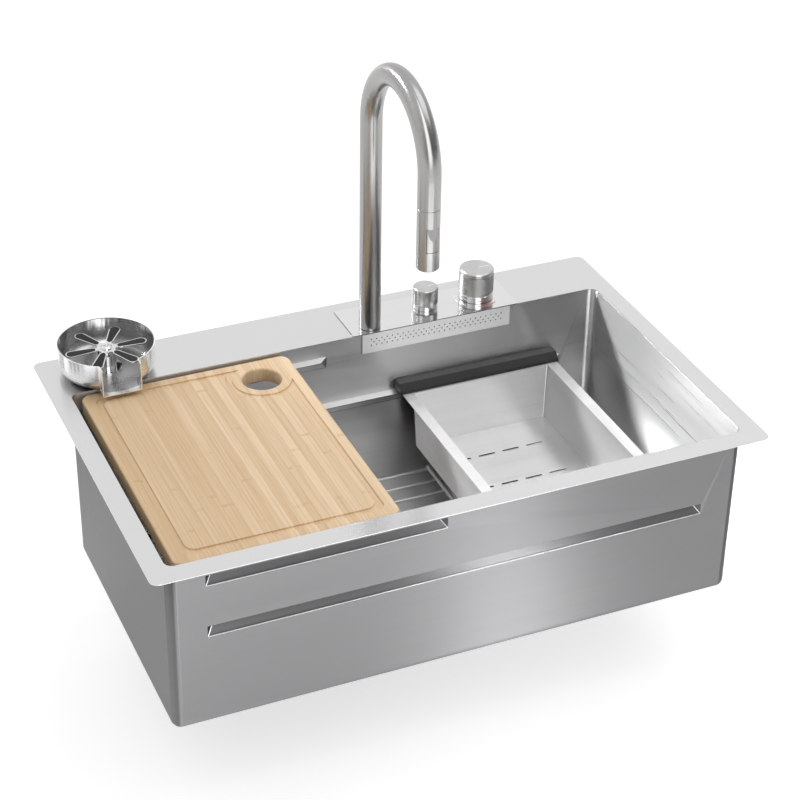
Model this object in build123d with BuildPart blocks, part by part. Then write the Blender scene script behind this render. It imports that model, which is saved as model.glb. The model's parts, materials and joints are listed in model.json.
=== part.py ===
from build123d import *
import os
from math import sqrt, tan, radians

# A drop-in kitchen sink with a tap panel, a swivel tap with a pull-down head, a waterfall outlet,
# a cup rinser, a cutting board, a sliding colander and a bottom grid.
# Millimetres. +X runs to the right along the rim, +Y to the rear deck and +Z up.
# The origin lies on the worktop, under the rim's seal, at the middle of the rim.

os.makedirs("parts", exist_ok=True)

# Fits: radial clearance of turning and sliding shafts, of fixed pieces in holes, and of loose pieces
RUNNING = 0.05
SEATED = 0.2
LOOSE = 0.4

# Rim, deck and bowl
RIM_LENGTH = 750.0
RIM_WIDTH = 480.0
RIM_CORNER = 10.0
SHEET = 1.2
SIDE_MARGIN = 24.0
FRONT_MARGIN = 26.0
DECK_DEPTH = 85.0
BOWL_DEPTH = 226.0
WALL_CORNER = 10.0
FLOOR_CORNER = 8.0
SEAL_THICKNESS = 2.0
SEAL_WIDTH = 12.0
SEAL_INSET = 4.0
PAD_THICKNESS = 3.0
PAD_LENGTH = 170.0

# Pressed ledges in the front and rear walls
LEDGE_DEPTH = 12.0
LEDGE_HEIGHT = 16.0
LEDGE_START = 41.0
LEDGE_WALL = 1.4
UPPER_LEDGE_DROP = 21.0
UPPER_LEDGE_LENGTH = 286.0
LOWER_LEDGE_DROP = 89.5
LOWER_LEDGE_LENGTH = 616.0

# Drain and basket strainer
DRAIN_FROM_RIGHT = 179.0
DRAIN_FROM_REAR = 93.0
DISH_RADIUS = 78.0
DISH_DROP = 3.0
SEAT_RADIUS = 58.0
FLANGE_RADIUS = 56.0
FLANGE_THICKNESS = 1.6
CUP_RADIUS = 44.4
CUP_WALL = 1.4
CUP_DEPTH = 42.0
SHOULDER_DROP = 5.0
SHOULDER_WIDTH = 3.5
OUTLET_RADIUS = 20.0
OUTLET_WALL = 3.0
OUTLET_LENGTH = 16.0
GASKET_THICKNESS = 3.0
LOCKNUT_HEIGHT = 9.0
LOCKNUT_RADIUS = 60.0
TAIL_RADIUS = 19.0
TAIL_WALL = 1.5
TAIL_LENGTH = 45.0
TAIL_NECK = 12.0
SLIP_NUT_RADIUS = 29.0
SLIP_NUT_HEIGHT = 18.0
BASKET_DEPTH = 22.0
BASKET_WALL = 0.8
BASKET_HOLE = 2.2
POST_RADIUS = 4.0
PULL_RADIUS = 10.0
PULL_HEIGHT = 7.0
STOPPER_RADIUS = 24.0
STOPPER_THICKNESS = 4.0

# Tap panel and waterfall outlet
PANEL_X = 126.0
PANEL_LENGTH = 228.0
PANEL_DEPTH = 67.5
PANEL_THICKNESS = 1.2
PANEL_CORNER = 1.5
FACE_LENGTH = 204.5
FACE_HEIGHT = 27.3
FACE_THICKNESS = 1.5
JET_RADIUS = 0.9
JET_PITCH = 7.2
JET_ROW_GAP = 4.2
JET_COUNT = 26
JET_DROP = 12.3
CHAMBER_INSET = 5.0
CHAMBER_DEPTH = 5.2
CHAMBER_STEP = 1.7
CHAMBER_WALL = 0.8
CHAMBER_TOP_DROP = 4.0
CHAMBER_HEIGHT = 20.0
FEED_RADIUS = 6.0
FEED_X = 162.0

# Valve body and knobs
KNOB_FROM_OPENING = 36.5
KNOB_SPACING = 71.5
VALVE_GASKET = 2.0
VALVE_MARGIN = 25.0
VALVE_DEPTH = 34.0
VALVE_HEIGHT = 42.0
VALVE_FLOOR = 6.0
INLET_RADIUS = 10.4
INLET_BORE = 7.0
INLET_LENGTH = 18.0
HOSE_TAIL_RADIUS = 7.0
HOSE_TAIL_LENGTH = 14.0
HOSE_TAIL_BORE = 4.5
DIVERTER_NECK = 11.0
DIVERTER_NECK_WALL = 2.0
DIVERTER_RING_RADIUS = 16.2
DIVERTER_RING_HEIGHT = 5.2
DIVERTER_HEIGHT = 28.6
DIVERTER_RADIUS = 16.0
DIVERTER_STEM = 3.0
MIXER_NECK = 15.0
MIXER_NECK_WALL = 2.0
MIXER_RING_RADIUS = 22.4
MIXER_RING_HEIGHT = 8.9
MIXER_HEIGHT = 41.2
MIXER_RADIUS = 22.2
MIXER_CAP_HEIGHT = 6.0
MIXER_STEM = 5.0
KNOB_GAP = 0.8
STEM_GRIP = 12.0
STEM_DEPTH = 16.0
TICK_LENGTH = 8.0
TICK_WIDTH = 0.9
TICK_DEPTH = 0.4
MARK_RADIUS = 28.0
MARK_WIDTH = 1.4
MARK_THICKNESS = 0.15
MARK_ARC = 55.0
HOT_MARK_START = -110.0
COLD_MARK_START = 165.0

# Swivel tap
TAP_FROM_OPENING = 16.0
TAP_FROM_DIVERTER = 85.0
TUBE_RADIUS = 13.7
TUBE_WALL = 1.2
ARCH_RADIUS = 85.0
ARCH_HEIGHT = 284.0
JOINT_HEIGHT = 248.0
SWIVEL_RING = 0.6
SWIVEL_POST = 45.0
SHANK_RADIUS = 10.0
SHANK_BORE = 7.5
SHANK_LENGTH = 48.0
WASHER_RADIUS = 13.5
WASHER_THICKNESS = 2.0
NUT_RADIUS = 14.0
NUT_HEIGHT = 8.0
COLLAR_LENGTH = 16.0
COLLAR_BORE = 8.6

# Spray head
HEAD_LENGTH = 77.0
HEAD_GAP = 0.4
HEAD_WALL = 2.2
HEAD_CHAMFER = 1.2
NOSE_LENGTH = 12.0
NOSE_BORE = 4.0
HEAD_ROOF = 6.0
SPRAY_RECESS = 1.2
SPRAY_THICKNESS = 4.0
AERATOR_RADIUS = 4.6
BUTTON_HEIGHT = 29.4
BUTTON_WIDTH = 14.0
BUTTON_THICKNESS = 4.8
BUTTON_DROP = 37.0
BUTTON_TILT = 8.0
BUTTON_GAP = 0.7
BUTTON_SIDE_GAP = 0.5
BUTTON_PIN = 1.0
PIN_BITE = 1.0

# Cup rinser
RINSER_FROM_LEFT = 81.5
RINSER_FROM_OPENING = 37.2
RINSER_BASE = 3.0
RINSER_BASE_RADIUS = 34.0
RINSER_RADIUS = 58.4
RINSER_RIM = 40.0
RINSER_WALL = 1.2
RINSER_COVE = 14.0
SPOUT_HALF_WIDTH = 24.3
SPOUT_REACH = 63.2
SPOUT_BEND = 2.5
SPOUT_BLEND = 3.0
TOWER_RADIUS = 11.0
TOWER_HEIGHT = 20.5
TOWER_ROOF = 4.0
TOWER_FOOT = 18.0
TOWER_FOOT_HEIGHT = 2.0
SPRING_BORE = 7.4
SPRING_LENGTH = 8.0
STEM_RADIUS = 4.0
STEM_COLLAR = 2.0
RINSER_SHANK_LENGTH = 46.0
RINSER_SHANK_BORE = 5.0
RINSER_STUB_LENGTH = 20.0
RINSER_NUT_RADIUS = 18.0
STAR_DROP = 7.8
STAR_THICKNESS = 1.6
STAR_HUB = 11.5
STAR_FRAME = 1.3
ARM_COUNT = 6
PAD_IN = 17.2
PAD_OUT = 43.2
PAD_IN_RADIUS = 3.4
PAD_OUT_RADIUS = 5.8
PAD_PROUD = 0.8
SCREW_RADIUS = 6.8
SCREW_HEIGHT = 3.0
SCREW_SLOT = 1.6

# Cutting board
BOARD_FROM_WALL = 10.5
BOARD_WIDTH = 262.0
BOARD_CLEARANCE = 3.0
BOARD_THICKNESS = 18.0
BOARD_CORNER = 12.0
BOARD_EDGE = 2.5
GRIP_HOLE = 24.0
GRIP_FROM_RIGHT = 47.5
GRIP_FROM_REAR = 43.5
GROOVE_INSET = 13.0
GROOVE_WIDTH = 8.0
GROOVE_DEPTH = 2.0
GROOVE_ROUND_HOLE = 12.0

# Colander
COLANDER_FROM_RIGHT = 170.5
COLANDER_FLANGE = 219.0
COLANDER_END_GAP = 11.0
COLANDER_LIP = 14.5
COLANDER_DEPTH = 77.0
COLANDER_WALL = 1.0
COLANDER_DRAFT = 3.5
COLANDER_CORNER = 1.5
COLANDER_DROP = 86.0
SLOT_LENGTH = 23.0
SLOT_WIDTH = 3.0
SLOT_PITCH_X = 33.75
SLOT_PITCH_Y = 67.7
RAIL_OVERHANG = 2.0
RAIL_DEPTH = 21.0
RAIL_HEIGHT = 15.5
RAIL_CHAMFER = 8.0
RAIL_CLEARANCE = 2.0

# Bottom grid
GRID_END_GAP = 24.4
GRID_SPACES = 12
WIRE_RADIUS = 2.0
FRAME_RADIUS = 2.5
CROSS_RADIUS = 2.5
GRID_CORNER = 20.0
GRID_HEIGHT = 16.8
WELD_DEPTH = 0.5
RING_RADIUS = 56.0
CROSS_FROM_DRAIN = 64.5
FOOT_RADIUS = 7.0
FOOT_INSET = 50.0

# Heights
deck_under = SEAL_THICKNESS
deck_top = deck_under + SHEET
floor_under = deck_top - BOWL_DEPTH
floor_top = floor_under + SHEET
seat_top = floor_top - DISH_DROP
seat_under = seat_top - SHEET
panel_top = deck_top + PANEL_THICKNESS
upper_ledge = deck_top - UPPER_LEDGE_DROP
lower_ledge = deck_top - LOWER_LEDGE_DROP

# Opening in the rim, which is also the inside of the bowl
open_left = SIDE_MARGIN - RIM_LENGTH / 2
open_right = RIM_LENGTH / 2 - SIDE_MARGIN
open_front = FRONT_MARGIN - RIM_WIDTH / 2
open_rear = RIM_WIDTH / 2 - DECK_DEPTH
open_length = open_right - open_left
open_width = open_rear - open_front
middle_y = (open_front + open_rear) / 2

# Centres of the fittings
drain = (open_right - DRAIN_FROM_RIGHT, open_rear - DRAIN_FROM_REAR)
diverter = (PANEL_X, open_rear + KNOB_FROM_OPENING)
mixer = (PANEL_X + KNOB_SPACING, open_rear + KNOB_FROM_OPENING)
tap = (PANEL_X - TAP_FROM_DIVERTER, open_rear + TAP_FROM_OPENING)
head = (tap[0], tap[1] - 2 * ARCH_RADIUS)
rinser = (RINSER_FROM_LEFT - RIM_LENGTH / 2, open_rear + RINSER_FROM_OPENING)


def save(piece, name):
    """Name a finished piece and write it."""
    piece.part.label = name
    export_step(piece.part, "parts/" + name + ".step")


def turned(points, centre):
    """A solid of revolution about the upright line through centre; points are radius and height."""
    upright = Plane(origin=(centre[0], centre[1], 0), x_dir=(1, 0, 0), z_dir=(0, -1, 0))
    with BuildPart() as piece:
        with BuildSketch(upright):
            with BuildLine():
                Polyline(*points, close=True)
            make_face()
        revolve(axis=Axis((centre[0], centre[1], 0), (0, 0, 1)))
    return piece


def collar(inner, outer, low, high, centre):
    """A plain ring."""
    return turned([(inner, low), (outer, low), (outer, high), (inner, high)], centre)


def hex_nut(bore, across_corners, low, high, centre):
    """A hexagon nut; across_corners is its corner radius."""
    with BuildPart() as piece:
        with BuildSketch(Plane.XY.offset(low)):
            with Locations(centre):
                RegularPolygon(across_corners, 6)
                Circle(bore, mode=Mode.SUBTRACT)
        extrude(amount=high - low)
    return piece


def tub(length, width, corner, low, high, cove):
    """A rounded block with a rounded bottom edge, centred on the bowl."""
    with BuildPart() as block:
        with BuildSketch(Plane.XY.offset(low)):
            with Locations((0, middle_y)):
                RectangleRounded(length, width, corner)
        extrude(amount=high - low)
        fillet(block.faces().sort_by(Axis.Z)[0].edges(), cove)
    return block.part


def ledge(left, right, wall, inward, top):
    """A wedge on a wall: flat on top, sloping back to the wall below, with mitred ends."""
    tip = wall + inward * LEDGE_DEPTH
    with BuildPart() as block:
        with BuildSketch(Plane.XY.offset(top)):
            with BuildLine():
                Polyline(
                    (left, wall),
                    (right, wall),
                    (right - LEDGE_DEPTH, tip),
                    (left + LEDGE_DEPTH, tip),
                    close=True,
                )
            make_face()
        extrude(amount=-LEDGE_HEIGHT)
        with BuildSketch(Plane.YZ.offset(left)):
            with BuildLine():
                Polyline((wall, top), (tip, top), (wall, top - LEDGE_HEIGHT), close=True)
            make_face()
        extrude(amount=right - left, mode=Mode.INTERSECT)
    return block.part


# Rim and deck: one flat sheet with the bowl opening and four holes for the fittings
tap_hole = SHANK_RADIUS + SEATED
diverter_hole = DIVERTER_NECK + SEATED
mixer_hole = MIXER_NECK + SEATED
rinser_hole = SHANK_RADIUS + SEATED

with BuildPart() as rim_deck:
    with BuildSketch(Plane.XY.offset(deck_under)):
        RectangleRounded(RIM_LENGTH, RIM_WIDTH, RIM_CORNER)
        with Locations((0, middle_y)):
            RectangleRounded(open_length, open_width, WALL_CORNER, mode=Mode.SUBTRACT)
        with Locations(tap):
            Circle(tap_hole, mode=Mode.SUBTRACT)
        with Locations(diverter):
            Circle(diverter_hole, mode=Mode.SUBTRACT)
        with Locations(mixer):
            Circle(mixer_hole, mode=Mode.SUBTRACT)
        with Locations(rinser):
            Circle(rinser_hole, mode=Mode.SUBTRACT)
    extrude(amount=SHEET)
save(rim_deck, "rim_deck")

# Sealing strip under the rim; its underside rests on the worktop
seal_length = RIM_LENGTH - 2 * SEAL_INSET
seal_depth = RIM_WIDTH - 2 * SEAL_INSET
with BuildPart() as rim_seal:
    with BuildSketch(Plane.XY):
        RectangleRounded(seal_length, seal_depth, RIM_CORNER)
        Rectangle(seal_length - 2 * SEAL_WIDTH, seal_depth - 2 * SEAL_WIDTH, mode=Mode.SUBTRACT)
    extrude(amount=SEAL_THICKNESS)
save(rim_seal, "rim_seal")

# Bowl: folded sheet under the opening, pressed in for the ledges and dished round the drain
outer_tub = tub(
    open_length + 2 * SHEET,
    open_width + 2 * SHEET,
    WALL_CORNER + SHEET,
    floor_under,
    deck_under,
    FLOOR_CORNER + SHEET,
)
inner_tub = tub(open_length, open_width, WALL_CORNER, floor_top, deck_under + SHEET, FLOOR_CORNER)
ledge_left = open_left + LEDGE_START
upper_right = ledge_left + UPPER_LEDGE_LENGTH
lower_right = ledge_left + LOWER_LEDGE_LENGTH
ledge_spans = [(upper_right, upper_ledge), (lower_right, lower_ledge)]
ledge_walls = [(open_front, 1), (open_rear, -1)]
ledge_forms = []
groove_forms = []
for ledge_right, ledge_top in ledge_spans:
    for wall_y, inward in ledge_walls:
        ledge_forms.append(ledge(ledge_left, ledge_right, wall_y, inward, ledge_top))
        groove_wall = wall_y - inward * (SHEET + LEDGE_WALL)
        groove_top = ledge_top - SHEET
        groove_forms.append(ledge(ledge_left, ledge_right, groove_wall, inward, groove_top))
dish = turned(
    [
        (DISH_RADIUS, floor_top),
        (SEAT_RADIUS, seat_top),
        (CUP_RADIUS + SEATED, seat_top),
        (CUP_RADIUS + SEATED, seat_under),
        (SEAT_RADIUS, seat_under),
        (DISH_RADIUS, floor_under),
    ],
    drain,
).part
chamber_length = FACE_LENGTH - 2 * CHAMBER_INSET
chamber_top = deck_top - CHAMBER_TOP_DROP
chamber_low = chamber_top - CHAMBER_HEIGHT
chamber_middle = (chamber_top + chamber_low) / 2
with BuildPart() as bowl:
    add(outer_tub)
    add(inner_tub, mode=Mode.SUBTRACT)
    add(ledge_forms)
    add(groove_forms, mode=Mode.SUBTRACT)
    with Locations((drain[0], drain[1], floor_top)):
        Cylinder(DISH_RADIUS, 4 * SHEET, mode=Mode.SUBTRACT)
    add(dish)
    with Locations((PANEL_X, open_rear, chamber_middle)):
        Box(
            chamber_length + 2 * SEATED,
            4 * SHEET,
            CHAMBER_HEIGHT + 2 * SEATED,
            mode=Mode.SUBTRACT,
        )
save(bowl, "bowl")

# Sound-deadening pads glued under the floor, left of the drain
pad_depth = open_width / 2
pad_step = PAD_LENGTH + 2 * LEDGE_DEPTH
with BuildPart() as damping_pads:
    with BuildSketch(Plane.XY.offset(floor_under)):
        with Locations((drain[0] - 2 * DISH_RADIUS - PAD_LENGTH, middle_y)):
            with GridLocations(pad_step, 0, 2, 1):
                RectangleRounded(PAD_LENGTH, pad_depth, RIM_CORNER)
    extrude(amount=-PAD_THICKNESS)
save(damping_pads, "damping_pads")

# Drain cup: flange on the floor, an inner shoulder for the basket and a hole for the outlet
cup_inside = CUP_RADIUS - CUP_WALL
shoulder_top = seat_top - SHOULDER_DROP
shoulder_radius = cup_inside - SHOULDER_WIDTH
cup_under = seat_top - CUP_DEPTH
cup_floor = cup_under + CUP_WALL
outlet_low = cup_under - OUTLET_LENGTH
outlet_bore = OUTLET_RADIUS - OUTLET_WALL
flange_top = seat_top + FLANGE_THICKNESS
drain_body = turned(
    [
        (CUP_RADIUS, seat_top),
        (FLANGE_RADIUS, seat_top),
        (FLANGE_RADIUS - FLANGE_THICKNESS, flange_top),
        (CUP_RADIUS, flange_top),
        (cup_inside, seat_top),
        (cup_inside, shoulder_top),
        (shoulder_radius, shoulder_top),
        (shoulder_radius, shoulder_top - CUP_WALL),
        (cup_inside, shoulder_top - CUP_WALL - SHOULDER_WIDTH),
        (cup_inside, cup_floor),
        (outlet_bore, cup_floor),
        (outlet_bore, cup_under),
        (CUP_RADIUS, cup_under),
    ],
    drain,
)
save(drain_body, "drain_body")

# Threaded outlet under the cup
drain_spud = collar(outlet_bore, OUTLET_RADIUS, outlet_low, cup_under, drain)
save(drain_spud, "drain_spud")

# Rubber washer and ring nut that clamp the cup to the floor
gasket_low = seat_under - GASKET_THICKNESS
nut_bore = CUP_RADIUS + SEATED
drain_gasket = collar(nut_bore, FLANGE_RADIUS, gasket_low, seat_under, drain)
save(drain_gasket, "drain_gasket")
drain_locknut = hex_nut(nut_bore, LOCKNUT_RADIUS, gasket_low - LOCKNUT_HEIGHT, gasket_low, drain)
save(drain_locknut, "drain_locknut")

# Outlet pipe: a flange under the cup's outlet, a neck through the slip nut and a plain end
tail_bore = TAIL_RADIUS - TAIL_WALL
neck_radius = TAIL_RADIUS - LOOSE
tail_flange_low = outlet_low - CUP_WALL
neck_low = tail_flange_low - TAIL_NECK
tail_low = neck_low - TAIL_LENGTH
drain_tailpiece = turned(
    [
        (tail_bore, outlet_low),
        (OUTLET_RADIUS, outlet_low),
        (OUTLET_RADIUS, tail_flange_low),
        (neck_radius, tail_flange_low),
        (neck_radius, neck_low),
        (TAIL_RADIUS, neck_low),
        (TAIL_RADIUS, tail_low),
        (tail_bore, tail_low),
    ],
    drain,
)
save(drain_tailpiece, "drain_tailpiece")

# Slip nut: threads on the outlet and carries the pipe's flange on its lip
lip_low = tail_flange_low - 2 * CUP_WALL
with BuildPart() as drain_slip_nut:
    with BuildSketch(Plane.XY.offset(lip_low)):
        with Locations(drain):
            RegularPolygon(SLIP_NUT_RADIUS, 6)
            Circle(neck_radius + SEATED, mode=Mode.SUBTRACT)
    extrude(amount=SLIP_NUT_HEIGHT)
    with BuildSketch(Plane.XY.offset(tail_flange_low)):
        with Locations(drain):
            Circle(OUTLET_RADIUS + SEATED)
    extrude(amount=SLIP_NUT_HEIGHT, mode=Mode.SUBTRACT)
save(drain_slip_nut, "drain_slip_nut")

# Basket strainer: flange on the cup's shoulder, perforated bottom
basket_flange = cup_inside - LOOSE
basket_radius = shoulder_radius - 2 * LOOSE
basket_low = shoulder_top - BASKET_DEPTH
basket_floor = basket_low + BASKET_WALL
basket_inside = basket_radius - BASKET_WALL
basket_shell = turned(
    [
        (0, basket_low),
        (basket_radius, basket_low),
        (basket_radius, shoulder_top),
        (basket_flange, shoulder_top),
        (basket_flange, shoulder_top + BASKET_WALL),
        (basket_inside, shoulder_top + BASKET_WALL),
        (basket_inside, basket_floor),
        (0, basket_floor),
    ],
    drain,
).part
hole_ring = basket_inside - 3 * BASKET_HOLE
with BuildPart() as strainer_basket:
    add(basket_shell)
    with BuildSketch(Plane.XY.offset(basket_low)):
        with Locations(drain):
            with PolarLocations(hole_ring, 16):
                Circle(BASKET_HOLE)
            with PolarLocations(hole_ring * 2 / 3, 10):
                Circle(BASKET_HOLE)
            with PolarLocations(hole_ring / 3, 5):
                Circle(BASKET_HOLE)
            Circle(POST_RADIUS + RUNNING)
    extrude(amount=BASKET_WALL, mode=Mode.SUBTRACT)
save(strainer_basket, "strainer_basket")

# Post and pull knob of the strainer
pull_low = flange_top
pull_top = pull_low + PULL_HEIGHT
stopper_top = basket_low - BASKET_WALL
stopper_low = stopper_top - STOPPER_THICKNESS
post_foot = POST_RADIUS + BASKET_WALL
strainer_knob = turned(
    [
        (0, stopper_low + BASKET_WALL),
        (POST_RADIUS, stopper_low + BASKET_WALL),
        (POST_RADIUS, basket_floor),
        (post_foot, basket_floor),
        (post_foot, basket_floor + BASKET_WALL),
        (POST_RADIUS, basket_floor + BASKET_WALL),
        (POST_RADIUS, pull_low),
        (PULL_RADIUS, pull_low + PULL_HEIGHT / 3),
        (PULL_RADIUS, pull_top - PULL_HEIGHT / 4),
        (PULL_RADIUS - PULL_HEIGHT / 4, pull_top),
        (0, pull_top),
    ],
    drain,
)
save(strainer_knob, "strainer_knob")

# Rubber stopper under the basket
with BuildPart() as strainer_stopper:
    with Locations((drain[0], drain[1], stopper_low)):
        lower_end = (Align.CENTER, Align.CENTER, Align.MIN)
        Cylinder(STOPPER_RADIUS, basket_low - stopper_low, align=lower_end)
        Cylinder(
            POST_RADIUS + RUNNING,
            basket_low - stopper_low,
            align=lower_end,
            mode=Mode.SUBTRACT,
        )
save(strainer_stopper, "strainer_stopper")

# Tap panel: thin plate on the deck whose front edge covers the waterfall face
face_front = open_rear - FACE_THICKNESS
panel_middle = face_front + PANEL_DEPTH / 2
with BuildPart() as tap_panel:
    with BuildSketch(Plane.XY.offset(deck_top)):
        with Locations((PANEL_X, panel_middle)):
            RectangleRounded(PANEL_LENGTH, PANEL_DEPTH, PANEL_CORNER)
        with Locations(tap):
            Circle(tap_hole, mode=Mode.SUBTRACT)
        with Locations(diverter):
            Circle(diverter_hole, mode=Mode.SUBTRACT)
        with Locations(mixer):
            Circle(mixer_hole, mode=Mode.SUBTRACT)
    extrude(amount=PANEL_THICKNESS)
save(tap_panel, "tap_panel")

# Waterfall face: plate in front of the rear wall with three staggered rows of jets
face_plane = Plane(origin=(PANEL_X, open_rear, deck_top), x_dir=(1, 0, 0), z_dir=(0, -1, 0))
with BuildPart() as waterfall_face:
    with BuildSketch(face_plane):
        with Locations((0, -FACE_HEIGHT / 2)):
            Rectangle(FACE_LENGTH, FACE_HEIGHT)
        with Locations((0, -JET_DROP + JET_ROW_GAP), (0, -JET_DROP - JET_ROW_GAP)):
            with GridLocations(JET_PITCH, 0, JET_COUNT, 1):
                Circle(JET_RADIUS, mode=Mode.SUBTRACT)
        with Locations((0, -JET_DROP)):
            with GridLocations(JET_PITCH, 0, JET_COUNT - 1, 1):
                Circle(JET_RADIUS, mode=Mode.SUBTRACT)
    extrude(amount=FACE_THICKNESS)
save(waterfall_face, "waterfall_face")

# Waterfall chamber: shallow box through the rear wall, open towards the face, with a feed hole
feed_z = chamber_middle
step_x = tap[0] + NUT_RADIUS + CHAMBER_STEP
chamber_left = PANEL_X - chamber_length / 2
chamber_right = PANEL_X + chamber_length / 2


def chamber_block(wall):
    """The chamber's plan, shrunk by its wall and stepped forward behind the tap's nut."""
    with BuildPart() as block:
        with BuildSketch(Plane.XY.offset(chamber_low + wall)):
            with BuildLine():
                Polyline(
                    (chamber_left + wall, open_rear),
                    (chamber_right - wall, open_rear),
                    (chamber_right - wall, open_rear + CHAMBER_DEPTH - wall),
                    (step_x + wall, open_rear + CHAMBER_DEPTH - wall),
                    (step_x + wall, open_rear + CHAMBER_STEP - wall),
                    (chamber_left + wall, open_rear + CHAMBER_STEP - wall),
                    close=True,
                )
            make_face()
        extrude(amount=CHAMBER_HEIGHT - 2 * wall)
    return block.part


chamber_outside = chamber_block(0)
chamber_inside = chamber_block(CHAMBER_WALL)
with BuildPart() as waterfall_chamber:
    add(chamber_outside)
    add(chamber_inside, mode=Mode.SUBTRACT)
    with Locations((FEED_X, open_rear + CHAMBER_DEPTH, feed_z)):
        Cylinder(FEED_RADIUS - CHAMBER_WALL, 4 * CHAMBER_WALL, rotation=(90, 0, 0), mode=Mode.SUBTRACT)
save(waterfall_chamber, "waterfall_chamber")

# Feed pipe from the valve body to the chamber
valve_front = diverter[1] - VALVE_DEPTH / 2
feed_length = valve_front - open_rear - CHAMBER_DEPTH
feed_plane = Plane(
    origin=(FEED_X, open_rear + CHAMBER_DEPTH, feed_z), x_dir=(1, 0, 0), z_dir=(0, 1, 0)
)
with BuildPart() as waterfall_pipe:
    with BuildSketch(feed_plane):
        Circle(FEED_RADIUS)
        Circle(FEED_RADIUS - CHAMBER_WALL, mode=Mode.SUBTRACT)
    extrude(amount=feed_length)
save(waterfall_pipe, "waterfall_pipe")

# Valve body: block under the deck with two necks, two inlets, a hose tail and the feed outlet
valve_top = deck_under - VALVE_GASKET
valve_low = valve_top - VALVE_HEIGHT
valve_middle = (diverter[0] + mixer[0]) / 2
valve_length = KNOB_SPACING + 2 * VALVE_MARGIN
diverter_ring_top = panel_top + DIVERTER_RING_HEIGHT
mixer_ring_top = panel_top + MIXER_RING_HEIGHT
diverter_bore = DIVERTER_NECK - DIVERTER_NECK_WALL
mixer_bore = MIXER_NECK - MIXER_NECK_WALL
bore_floor = valve_low + VALVE_FLOOR
inlet_low = valve_low - INLET_LENGTH
tail_low_end = valve_low - HOSE_TAIL_LENGTH
outlet_plane = Plane(origin=(FEED_X, valve_front, feed_z), x_dir=(1, 0, 0), z_dir=(0, 1, 0))
with BuildPart() as valve_body:
    with BuildSketch(Plane.XY.offset(valve_low)):
        with Locations((valve_middle, diverter[1])):
            RectangleRounded(valve_length, VALVE_DEPTH, PANEL_CORNER * 2)
    extrude(amount=VALVE_HEIGHT)
    with BuildSketch(Plane.XY.offset(valve_low)):
        with Locations(diverter):
            Circle(DIVERTER_NECK)
    extrude(amount=diverter_ring_top - KNOB_GAP - valve_low)
    with BuildSketch(Plane.XY.offset(valve_low)):
        with Locations(mixer):
            Circle(MIXER_NECK)
    extrude(amount=mixer_ring_top - KNOB_GAP - valve_low)
    with BuildSketch(Plane.XY.offset(inlet_low)):
        with Locations(diverter, mixer):
            Circle(INLET_RADIUS)
    extrude(amount=INLET_LENGTH)
    with BuildSketch(Plane.XY.offset(tail_low_end)):
        with Locations((valve_middle, diverter[1])):
            Circle(HOSE_TAIL_RADIUS)
    extrude(amount=HOSE_TAIL_LENGTH)
    with BuildSketch(Plane.XY.offset(bore_floor)):
        with Locations(diverter):
            Circle(diverter_bore)
        with Locations(mixer):
            Circle(mixer_bore)
    extrude(amount=mixer_ring_top - bore_floor, mode=Mode.SUBTRACT)
    with BuildSketch(Plane.XY.offset(inlet_low)):
        with Locations(diverter, mixer):
            Circle(INLET_BORE)
    extrude(amount=INLET_LENGTH + VALVE_FLOOR, mode=Mode.SUBTRACT)
    with BuildSketch(Plane.XY.offset(tail_low_end)):
        with Locations((valve_middle, diverter[1])):
            Circle(HOSE_TAIL_BORE)
    extrude(amount=HOSE_TAIL_LENGTH + VALVE_FLOOR, mode=Mode.SUBTRACT)
    with BuildSketch(outlet_plane):
        Circle(FEED_RADIUS - CHAMBER_WALL)
    extrude(amount=VALVE_DEPTH / 3, mode=Mode.SUBTRACT)
save(valve_body, "valve_body")

# Gasket between valve body and deck
with BuildPart() as valve_gasket:
    with BuildSketch(Plane.XY.offset(valve_top)):
        with Locations((valve_middle, diverter[1])):
            RectangleRounded(valve_length, VALVE_DEPTH, PANEL_CORNER * 2)
        with Locations(diverter):
            Circle(diverter_hole, mode=Mode.SUBTRACT)
        with Locations(mixer):
            Circle(mixer_hole, mode=Mode.SUBTRACT)
    extrude(amount=VALVE_GASKET)
save(valve_gasket, "valve_gasket")


def ring_nut(bore, radius, height, centre):
    """A polished ring nut on the panel with eased edges and a fine line round its foot."""
    edge = height / 12
    return turned(
        [
            (bore, panel_top),
            (radius - 2 * edge, panel_top),
            (radius - 2 * edge, panel_top + edge),
            (radius, panel_top + edge),
            (radius, panel_top + height - edge),
            (radius - edge, panel_top + height),
            (bore, panel_top + height),
        ],
        centre,
    )


def cartridge(radius, stem, top, centre):
    """A sealed cartridge with a hole for its stem."""
    hole = stem + RUNNING
    hole_low = panel_top - STEM_DEPTH - STEM_GRIP / 2
    return turned(
        [
            (0, bore_floor),
            (radius, bore_floor),
            (radius, top),
            (hole, top),
            (hole, hole_low),
            (0, hole_low),
        ],
        centre,
    )


# Ring nuts and cartridges
diverter_ring = ring_nut(
    DIVERTER_NECK + SEATED, DIVERTER_RING_RADIUS, DIVERTER_RING_HEIGHT, diverter
)
save(diverter_ring, "diverter_ring")
mixer_ring = ring_nut(MIXER_NECK + SEATED, MIXER_RING_RADIUS, MIXER_RING_HEIGHT, mixer)
save(mixer_ring, "mixer_ring")
diverter_cartridge = cartridge(
    diverter_bore - SEATED, DIVERTER_STEM, panel_top + DIVERTER_RING_HEIGHT / 2, diverter
)
save(diverter_cartridge, "diverter_cartridge")
mixer_cartridge = cartridge(
    mixer_bore - SEATED, MIXER_STEM, panel_top + MIXER_RING_HEIGHT / 2, mixer
)
save(mixer_cartridge, "mixer_cartridge")

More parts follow.
